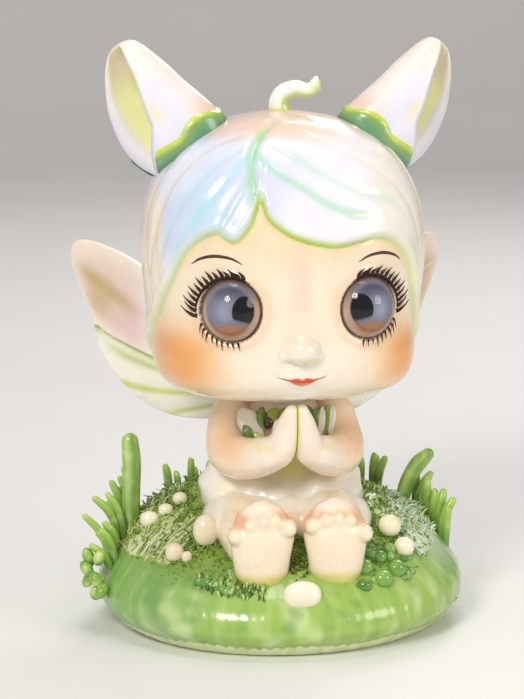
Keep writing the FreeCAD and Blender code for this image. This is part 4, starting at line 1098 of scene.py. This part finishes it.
def hill_ring(z, angle):
    """The hill's plain outline at height z."""
    if z < HILL_WAIST:
        share = (HILL_WAIST - z) / HILL_UNDERCUT
        k = max(0.0, 1 - share ** 2.6) ** (1 / 2.6)
        width, depth, centre = HILL_HALF_WIDTH * k, HILL_HALF_DEPTH * k, HILL_CENTRE_Y
    else:
        share = min(1.0, (z - HILL_WAIST) / (HILL_TOP - HILL_WAIST))
        k = max(0.0, 1 - share ** HILL_POWER) ** (1 / HILL_POWER)
        width, depth = HILL_HALF_WIDTH * k, HILL_HALF_DEPTH * k ** 1.6
        centre = HILL_CENTRE_Y + HILL_CREST_SHIFT * share
    return np.stack([width * np.cos(angle), centre + depth * np.sin(angle), np.full(len(angle), z)], axis=1)


def hill_surface(x, y):
    """Height of the hill over (x, y)."""
    low, high = HILL_WAIST, HILL_TOP - 0.01
    for _ in range(30):
        z = (low + high) / 2
        share = (z - HILL_WAIST) / (HILL_TOP - HILL_WAIST)
        k = (1 - share ** HILL_POWER) ** (1 / HILL_POWER)
        centre = HILL_CENTRE_Y + HILL_CREST_SHIFT * share
        inside = (x / (HILL_HALF_WIDTH * k)) ** 2 + ((y - centre) / (HILL_HALF_DEPTH * k ** 1.6)) ** 2 < 1
        low, high = (z, high) if inside else (low, z)
    return low


def hill_point(x, y, lift=0.0):
    return np.array([x, y, hill_surface(x, y) + lift])


def hill_streaks(angle, z):
    """Combed, running vertical streaks in the side of the hill, between about -1 and 1."""
    a = angle + 0.016 * np.sin(z / 6.0 + angle * 3) + 0.006 * np.sin(z / 2.3 + angle * 9)
    return (0.5 * np.sin(a * 34 + 2 * np.sin(a * 5)) + 0.3 * np.sin(a * 71 + 1.3)
            + 0.2 * np.sin(a * 127 + z * 0.5))


def band_height(angle):
    """Ragged upper edge of the pale band."""
    return (BAND_TOP + 0.4 * np.abs(np.sin(angle * 43 + np.sin(angle * 7))) + 0.25 * np.sin(angle * 97)
            + 0.35 * np.sin(angle * 11))


def hill_paint(points):
    x, y, z = points.T
    turn = np.arctan2((y - HILL_CENTRE_Y) / HILL_HALF_DEPTH, x / HILL_HALF_WIDTH)
    aside, streak, edge = np.cos(turn), hill_streaks(turn, z), band_height(turn)
    top = smooth(19, 25, z + 1.2 * waves(x, y, z, 12, 47))
    # painted shade on the hilltop under and just in front of the seated figure's legs
    shade_under_legs = bell((x, -6, 26), (y, -20, 9)) * smooth(15, 18, z + waves(x, y, z, 6, 49))
    turf = painted(
        points, (160, 194, 88),
        ((128, 176, 98), 0.7 * smooth(0.2, 0.9, -aside)),
        ((150, 182, 76), 0.7 * smooth(0.3, 0.9, aside)),
        ((208, 226, 152), 0.24 * smooth(0.1, 0.9, streak) * smooth(24, 16, z)),
        ((104, 150, 62), 0.22 * smooth(-0.1, -0.9, streak) * smooth(24, 16, z)),
        ((210, 228, 164), 0.75 * smooth(-0.1, 0.9, waves(x, y, z, 26, 46)) * smooth(20, 11, z)),
        ((104, 152, 80), 0.55 * smooth(0.0, 0.9, waves(x, y, z, 20, 48)) * smooth(24, 14, z)),
        ((138, 166, 54), 0.9 * top),
        ((74, 108, 24), 0.8 * smooth(0.0, 0.8, waves(x, y, z, 12, 45)) * top),
        ((186, 206, 96), 0.7 * smooth(0.2, 0.9, waves(x, y, z, 17, 44)) * top),
        # painted shade under the figure's legs
        ((96, 132, 32), 0.75 * shade_under_legs),
        ((214, 228, 220), 0.7 * bell((x, 37, 8), (y, -2, 11)) * smooth(12, 18, z)))
    band = painted(
        points, (226, 236, 184),
        ((206, 220, 140), 0.6 * smooth(0.2, -0.6, streak)),
        ((206, 206, 110), 0.5 * smooth(0.5, 1.0, aside)))
    turf = tint(turf, band, smooth(edge + 0.5, edge - 0.4, z))
    return coated(turf, ((70, 110, 50), 0.35 * bell((z, edge + 0.4, 0.4))))


def build_hill(material):
    """The hill with its combed sides and pale foot, open below over the plate's recess."""
    angle = round_angles(720)
    heights = np.concatenate([[0.0, 0.15, 0.5], np.linspace(0.9, 8.0, 30), np.linspace(8.4, 30, 70),
                              HILL_TOP - 7 * np.linspace(1, 0.02, 24)[1:] ** 2])
    rings = [np.stack([PLATE_OVAL[0] * np.cos(angle), HILL_CENTRE_Y + PLATE_OVAL[1] * np.sin(angle),
                       np.full(len(angle), z)], axis=1) for z in (PLATE_RECESS, 0.0)]
    rings.append((rings[-1] + hill_ring(0.0, angle)) / 2)
    plain = np.array([hill_ring(z, angle) for z in heights])
    z = plain[..., 2]
    swell = HILL_BULGE * bell((z, BULGE_Z, BULGE_SPREAD)) - FOOT_TUCK * smooth(7, 0, z)
    plain[..., 0] *= 1 + swell
    plain[..., 1] = HILL_CENTRE_Y + (plain[..., 1] - HILL_CENTRE_Y) * (1 + swell)
    turn = np.broadcast_to(angle, z.shape)
    edge = band_height(turn)
    rise = 0.09 * hill_streaks(turn, z) * smooth(29, 20, z) * smooth(0.2, 1.2, z)
    rise = rise + 0.3 * smooth(edge + 0.15, edge - 0.25, z) * smooth(0, 0.6, z)
    rise = rise + 0.5 * waves(plain[..., 0], plain[..., 1], z, 13, 41) * smooth(18, 26, z)
    rise = rise + 0.3 * waves(plain[..., 0], plain[..., 1], z, 5.5, 42) * smooth(20, 26, z)
    shaped = plain + ring_normals(plain) * rise[..., None]
    verts, faces = skin(np.concatenate([rings, shaped]), None, shaped[-1].mean(0) + np.array([0, 0, 0.1]))
    piece("hill_turf", verts, faces, material, "base", "hill_vinyl", ["hill_base"], hill_paint(verts))


# ---- grass and moss -----------------------------------------------------------------------------
UP = np.array([0, 0, 1.0])
BLADE_BEDS = (     # nodes, from and to on the hill, number, length, outward lean, thickness
    (("grass_right",), (-47.0, -4.0), (-40.5, 14.0), 15, (8.0, 15.0), 0.45, 1.25),
    (("grass_left",), (46.0, 1.0), (40.5, 16.0), 13, (8.0, 14.0), 0.22, 1.25),
    (("grass_rear",), (-30.0, 27.0), (-12.0, 34.0), 9, (5.0, 9.0), 0.15, 1.1),
    ((), (12.0, 34.0), (32.0, 22.0), 15, (7.0, 11.0), 0.2, 1.15),
    ((), (-8.0, 35.5), (8.0, 35.5), 9, (4.0, 8.0), 0.15, 1.1))
STEMS = (          # node, path, radii, flatness, points along it
    ("tall_stem", ((-40.4, 8.0, 21.0), (-40.7, 8.0, 32.0), (-40.4, 8.0, 42.0), (-40.8, 7.8, 48.9)),
     (2.9, 2.5, 2.6, 2.35), 0.9, 20),
    ("bent_stem", ((35.8, 12.5, 24.0), (37.4, 12.5, 32.0), (40.2, 12.5, 37.6), (43.6, 12.6, 41.0)),
     (1.7, 2.2, 2.4, 1.9), 0.7, 16))
RIM_LEAVES = ((-51.8, -5.6, 10.4), (-53.4, -3.0, 13.4), (-51.8, -7.4, 14.8), (-53.0, -1.4, 18.2),
              (-50.8, -5.6, 20.0), (-54.0, -4.6, 17.0), (-50.4, -9.6, 12.0), (-53.6, -3.6, 20.4))
FIBRE_BEDS = (     # dark and light colour, centre on the hill, radii, number, length
    ((190, 200, 120), (230, 230, 180), (-39.5, 2.0), (5.0, 7.0), 70, 2.4),
    ((150, 178, 110), (214, 222, 170), (-34.0, 12.0), (9.0, 7.0), 80, 3.0),
    ((196, 216, 190), (232, 240, 220), (36.5, 1.0), (7.0, 8.0), 110, 2.4),
    ((150, 190, 130), (206, 220, 150), (39.5, 5.0), (5.0, 8.0), 90, 2.8),
    ((60, 92, 34), (120, 160, 60), (0.0, 33.0), (30.0, 5.0), 150, 3.4),
    ((76, 118, 40), (140, 176, 74), (-26.0, 22.0), (9.0, 6.0), 60, 3.2),
    ((84, 122, 30), (164, 192, 80), (0.0, 4.0), (41.0, 31.0), 2000, 1.5),
    ((96, 134, 36), (190, 206, 104), (-28.0, -4.0), (14.0, 22.0), 420, 1.7),
    ((84, 126, 36), (150, 188, 80), (26.0, -14.0), (16.0, 14.0), 380, 1.6),
    ((84, 124, 30), (156, 186, 76), (-6.0, -20.0), (27.0, 10.0), 900, 1.4),
    # painted shade: the darkest bed, a few dark fibres in the gap between the feet
    ((62, 70, 24), (120, 130, 50), (0.0, -29.0), (2.4, 3.0), 60, 1.6))
COMBED_BEDS = (    # dark and light colour, centre on the hill, radii, way the strands run, number
    ((190, 204, 120), (236, 236, 200), (-33.0, -7.0), (9.5, 11.0), (-0.85, -0.5), 260),
    ((196, 214, 170), (240, 244, 230), (36.5, -5.0), (8.0, 11.0), (0.75, -0.6), 280))


def blade(base, lean, length, thick):
    """One round-tipped finger of grass."""
    path = curve([base - UP * 1.5, base + UP * 0.35 * length + lean * 0.15 * length,
                  base + UP * 0.7 * length + lean * 0.45 * length,
                  base + UP * 0.95 * length + lean * 0.9 * length], 12)
    return tube(path, thick * spread(12, [0, 0.5, 0.85, 1], [0.8, 1.0, 0.95, 0.75]), 10, (0.2, 1, 0), 0.85)


def grass_paint(verts, dark, light, foot, tip):
    """Linear dark at the foot, light towards the tip, with paler patches."""
    return coated(flat_paint(verts, dark), (light, 0.9 * smooth(foot, tip, verts[:, 2])),
                  ((226, 238, 176), 0.35 * smooth(0.1, 0.9, waves(*verts.T, 6.0, 71))))


def build_blades(material):
    """Clusters of finger-like grass blades, the two thick stems, and the fleshy leaves at the rim."""
    rng = random.Random(12)
    for number, (nodes, start, stop, count, lengths, outward, thick) in enumerate(BLADE_BEDS):
        shapes, stains = [], []
        for k in range(count):
            share = (k + 0.5) / count
            x = start[0] + (stop[0] - start[0]) * share + rng.uniform(-1.4, 1.4)
            y = start[1] + (stop[1] - start[1]) * share + rng.uniform(-1.4, 1.4)
            base = hill_point(x, y)
            away = np.array([x, y - HILL_CENTRE_Y, 0]) / math.hypot(x, y - HILL_CENTRE_Y)
            lean = away * outward * rng.uniform(0.4, 1.4)
            lean = lean + np.array([rng.uniform(-0.15, 0.15), rng.uniform(-0.15, 0.15), 0])
            length = rng.uniform(*lengths)
            shapes.append(blade(base, lean, length, thick * rng.uniform(0.85, 1.15)))
            dark = srgb(92, 138, 40) * rng.uniform(0.7, 1.1)
            stains.append(grass_paint(shapes[-1][0], dark, (172, 208, 96), base[2], base[2] + length))
        verts, faces = joined(shapes)
        piece("grass_blades_%d" % number, verts, faces, material, "base", "grass_vinyl", nodes,
              np.vstack(stains))
    for name, stations, radii, flat, count in STEMS:
        path = curve(stations, count)
        verts, faces = tube(path, spread(count, [0, 0.3, 0.8, 1], radii), 20, (0, 1, 0), flat)
        aside = verts[:, 0] - np.interp(verts[:, 2], path[:, 2], path[:, 0])
        paint = coated(grass_paint(verts, srgb(120, 164, 56), (158, 196, 90), path[0, 2], path[-1, 2]),
                       # painted shade down the middle of each stem, and a painted highlight along its side
                       # towards the figure's right
                       ((84, 128, 40), 0.6 * bell((aside, 0.5, 0.6))),
                       ((216, 232, 160), 0.6 * bell((aside, -1.2, 0.5))))
        piece(name + "_skin", verts, faces, material, "base", "grass_vinyl", [name], paint)
    shapes = []
    for k, place in enumerate(RIM_LEAVES):
        lean, roll = 0.7 * math.sin(k * 2.3), 0.6 * math.cos(k * 1.7)
        tilt = Matrix.Rotation(lean, 3, "Y") @ Matrix.Rotation(roll, 3, "X")
        shapes.append(ellipsoid(place, (1.6, 1.8, 2.4), 12, 16, tilt))
    verts, faces = joined(shapes)
    paint = painted(verts, (128, 176, 62), ((204, 224, 136), smooth(-0.4, 0.8, waves(*verts.T, 7.0, 72))))
    piece("rim_leaves", verts, faces, material, "base", "grass_vinyl", ["leaf_rosettes"], paint)


def scattered(rng, centre, radii):
    """A place drawn evenly from an oval."""
    turn, far = rng.uniform(0, 2 * math.pi), math.sqrt(rng.random())
    return centre[0] + radii[0] * far * math.cos(turn), centre[1] + radii[1] * far * math.sin(turn)


def build_tufts(material):
    """Clumps of fine fibre on the hill: straw at one end, frosted at the other, green behind."""
    rng = random.Random(8)
    threads, stains = [], []

    def thread(path, radii, side, dark, light):
        threads.append(tube(curve(path, len(radii)), radii, 4, side, 1.0, False))
        dark, light = srgb(*dark), srgb(*light)
        stains.append(flat_paint(threads[-1][0], dark + (light - dark) * rng.random()))

    for dark, light, centre, radii, count, length in FIBRE_BEDS:
        for _ in range(count):
            root = hill_point(*scattered(rng, centre, radii), -0.5)
            reach = length * rng.uniform(0.6, 1.3)
            lean = np.array([rng.uniform(-1, 1), rng.uniform(-1, 0.6), 0]) * reach * 0.7
            thread([root, root + lean * 0.25 + UP * reach * 0.6, root + lean + UP * reach * 0.8],
                   [0.24, 0.3, 0.28, 0.22, 0.07], (0.3, 1, 0.2), dark, light)
    for dark, light, centre, radii, flow, count in COMBED_BEDS:
        for _ in range(count):
            x, y = scattered(rng, centre, radii)
            reach, drift = rng.uniform(3.0, 7.0), rng.uniform(-0.25, 0.25)
            run = [hill_point(x + (flow[0] + drift * t) * reach * t,
                              y + (flow[1] - drift * t) * reach * t, 0.2) for t in (0.0, 0.35, 0.7, 1.0)]
            thread(run, [0.08, 0.18, 0.2, 0.19, 0.15, 0.05], (0.3, 0.2, 1), dark, light)
    verts, faces = joined(threads)
    piece("grass_fibres", verts, faces, material, "base", "grass_vinyl", (), np.vstack(stains))


def build_moss(material):
    """A frill of small curled sprigs in front of the figure's right foot."""
    rng = random.Random(3)
    sprigs, stains = [], []

    def add(shape, stain):
        sprigs.append(shape)
        stains.append(painted(shape[0], stain))

    for i in range(130):
        share = (i + 0.5) / 130
        x = -27.0 + 17.5 * share + rng.uniform(-0.8, 0.8)
        y = -25.0 - 8.0 * share + rng.uniform(-2.4, 1.2)
        root = hill_point(x, y, -0.6)
        out = np.array([rng.uniform(-0.5, 0.5), -1.0, 0.0])
        size = rng.uniform(0.9, 1.9)
        path = curve([root] + [root + out * size * ahead + UP * size * rise
                               for ahead, rise in ((0.5, 0.8), (1.1, 0.7), (1.25, 0.05))], 9)
        radii = size * np.array([0.2, 0.24, 0.27, 0.29, 0.29, 0.27, 0.23, 0.18, 0.1])
        stain = rng.choice(((104, 146, 44), (156, 190, 84), (74, 112, 28), (186, 206, 116)))
        add(tube(path, radii, 8, (0.2, 1, 0.3)), stain)
    low, high = (np.array(corner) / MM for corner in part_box("moss_tuft"))
    for i in range(9):
        share = (i + 0.5) / 9
        centre = hill_point(low[0] + 2 + (high[0] - low[0] - 4) * share, high[1] - 3 - 6 * share, 0.3)
        add(ellipsoid(centre, (2.0, 1.7, 1.6)), (108, 156, 70))
    for _ in range(34):
        x, y = rng.uniform(13.0, 33.0), rng.uniform(-32.0, -19.0)
        size = rng.uniform(0.9, 1.8)
        shape = ellipsoid(hill_point(x, y, 0.2 * size), (size, size * 0.9, size * 0.95), 8, 10)
        add(shape, rng.choice(((96, 148, 48), (120, 172, 66), (84, 132, 40))))
    verts, faces = joined(sprigs)
    paint = coated(np.vstack(stains), ((206, 226, 150), 0.5 * smooth(0.2, 0.9, waves(*verts.T, 5.0, 51))))
    piece("moss_frill", verts, faces, material, "base", "leaf_paint", ["moss_tuft"], paint)


# ---- CAD nodes that are shown as they are -------------------------------------------------------
def finish_nodes():
    """Gives every CAD node that stays in view, or can be opened to view, its own surface."""
    looks = (
        (("bead_cluster",), mixed_vinyl("bead_green", (70, 124, 34), (132, 178, 74), 130.0, 0.16, 0.9)),
        (("front_stone", "egg_stone", "small_buds"),
         mixed_vinyl("stone_cream", (240, 224, 190), (252, 246, 228), 90.0, 0.22)),
        (("pebble_cluster", "pebble_pair"),
         mixed_vinyl("stone_milk", (236, 232, 184), (250, 246, 222), 100.0, 0.2)),
        (("base_plate",), mixed_vinyl("plate_plastic", (150, 170, 120), (176, 194, 146), 220.0, 0.5, 0.0)),
        (("plate_screws", "figure_screw", "neck_screw", "neck_washer"),
         mixed_vinyl("screw_steel", (150, 150, 152), (196, 196, 198), 400.0, 0.3, 0.0, 1.0)),
        (("neck_post", "neck_bush", "left_arm_clip", "right_arm_clip", "left_ear_clip", "right_ear_clip",
          "left_ear_bush", "right_ear_bush", "left_eye_cup", "right_eye_cup"),
         mixed_vinyl("hinge_nylon", (214, 208, 196), (238, 234, 226), 260.0, 0.4, 0.1)))
    for nodes, material in looks:
        for node in nodes:
            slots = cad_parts[node].data.materials
            slots.clear()
            slots.append(material)


# ---- studio -------------------------------------------------------------------------------------
AIM = Vector((0.0, 0.0, 0.0805))
CAMERA_TURN, CAMERA_TILT = math.radians(-8.5), math.radians(11.0)
CAMERA_DISTANCE, LENS = 0.6, 114.4
FRAME_RIGHT, FRAME_UP = 0.0054, 0.0056     # the aim sits this far right of and above the picture's middle


def build_studio():
    """A pale sweep of floor, a soft world, and four lamps aimed at the figure."""
    mesh = bpy.data.meshes.new("floor")
    half, rear, bend = 2.4, 1.1, 0.5
    turn = np.radians(np.linspace(0, 90, 25))
    sweep = [(rear + bend * math.sin(a), bend - bend * math.cos(a)) for a in turn]
    outline = [(-half, 0.0), *sweep, (rear + bend, 2.2)]
    verts = [(x, y, z) for y, z in outline for x in (-half, half)]
    mesh.from_pydata(verts, [], [(2 * k, 2 * k + 1, 2 * k + 3, 2 * k + 2) for k in range(len(outline) - 1)])
    mesh.shade_smooth()
    floor = bpy.data.objects.new("floor", mesh)
    bpy.context.scene.collection.objects.link(floor)
    material, tree, shader = new_material("pale_floor")
    two_tone(tree, shader, 9.0, 3.0, (0.80, 0.79, 0.78), (0.86, 0.85, 0.84), 0.0, 1.0)
    set_sockets(shader, Roughness=0.6)
    mesh.materials.append(material)
    world = bpy.data.worlds.new("studio")
    world.use_nodes = True
    set_sockets(world.node_tree.nodes["Background"], Color=(1.0, 0.98, 0.95, 1), Strength=0.44)
    bpy.context.scene.world = world
    bpy.context.scene.view_settings.view_transform = "Standard"
    lamps = (("key", (-0.42, -0.62, 0.62), 0.30, 4.2, (1.0, 0.98, 0.95)),
             ("fill", (0.62, -0.5, 0.34), 0.36, 1.7, (1.0, 0.98, 0.95)),
             ("rim", (0.3, 0.6, 0.6), 0.4, 1.8, (1.0, 1.0, 1.0)),
             ("top", (0.0, -0.05, 0.9), 0.3, 1.2, (1.0, 1.0, 1.0)))
    for name, place, size, power, colour in lamps:
        data = bpy.data.lights.new(name, "AREA")
        data.shape = "DISK"
        data.size = size
        data.energy = power
        data.color = colour
        lamp = bpy.data.objects.new(name, data)
        lamp.location = place
        lamp.rotation_euler = (AIM - Vector(place)).to_track_quat("-Z", "Y").to_euler()
        bpy.context.scene.collection.objects.link(lamp)


def build_camera():
    level = math.cos(CAMERA_TILT)
    back = Vector((math.sin(CAMERA_TURN) * level, -math.cos(CAMERA_TURN) * level, math.sin(CAMERA_TILT)))
    turn = (-back).to_track_quat("-Z", "Y")
    right, up = turn @ Vector((1, 0, 0)), turn @ Vector((0, 1, 0))
    data = bpy.data.cameras.new("camera")
    data.lens = LENS
    data.sensor_width = 36.0
    camera = bpy.data.objects.new("camera", data)
    camera.rotation_euler = turn.to_euler()
    camera.location = AIM + back * CAMERA_DISTANCE - right * FRAME_RIGHT - up * FRAME_UP
    bpy.context.scene.collection.objects.link(camera)
    bpy.context.scene.camera = camera


def main():
    build_camera()
    build_studio()
    skin_vinyl = painted_vinyl("skin_vinyl", 0.26, 0.55, glow=0.12)
    hair_vinyl = painted_vinyl("hair_vinyl", 0.22, 0.6, glow=0.08)
    leaf_vinyl = painted_vinyl("leaf_vinyl", 0.3, 0.5)
    plant_vinyl = painted_vinyl("plant_vinyl", 0.3, 0.5)
    wing_vinyl = painted_vinyl("wing_vinyl", 0.24, 0.6, glow=0.1)
    ear_vinyl = painted_vinyl("ear_vinyl", 0.26, 0.55, glow=0.1)
    turf_vinyl = painted_vinyl("turf_vinyl", 0.28, 0.55, bump_scale=700.0, bump_depth=0.0001)
    lash_plastic = painted_vinyl("lash_plastic", 0.6, 0.0, shine=0.2)
    lip_paint = painted_vinyl("lip_paint", 0.2, 0.8)
    iris_print = painted_vinyl("iris_print", 0.6, 0.0, bump_scale=300.0, bump_depth=0.000004, shine=0.05)
    bead_pearl = painted_vinyl("bead_pearl", 0.15, 0.9)
    build_face(skin_vinyl)
    build_hair(hair_vinyl)
    build_eyes(iris_print, clear_dome("eye_glass"))
    build_lashes(lash_plastic)
    build_brows(lash_plastic)
    build_mouth(lip_paint)
    build_ears(ear_vinyl, leaf_vinyl)
    build_sprout(hair_vinyl)
    build_forewings(wing_vinyl)
    build_hindwings(wing_vinyl)
    build_torso(skin_vinyl)
    build_arms(skin_vinyl)
    build_legs(skin_vinyl)
    build_lap(skin_vinyl)
    build_clothes(leaf_vinyl, bead_pearl)
    build_hill(turf_vinyl)
    build_blades(plant_vinyl)
    build_tufts(plant_vinyl)
    build_moss(leaf_vinyl)
    finish_nodes()


main()
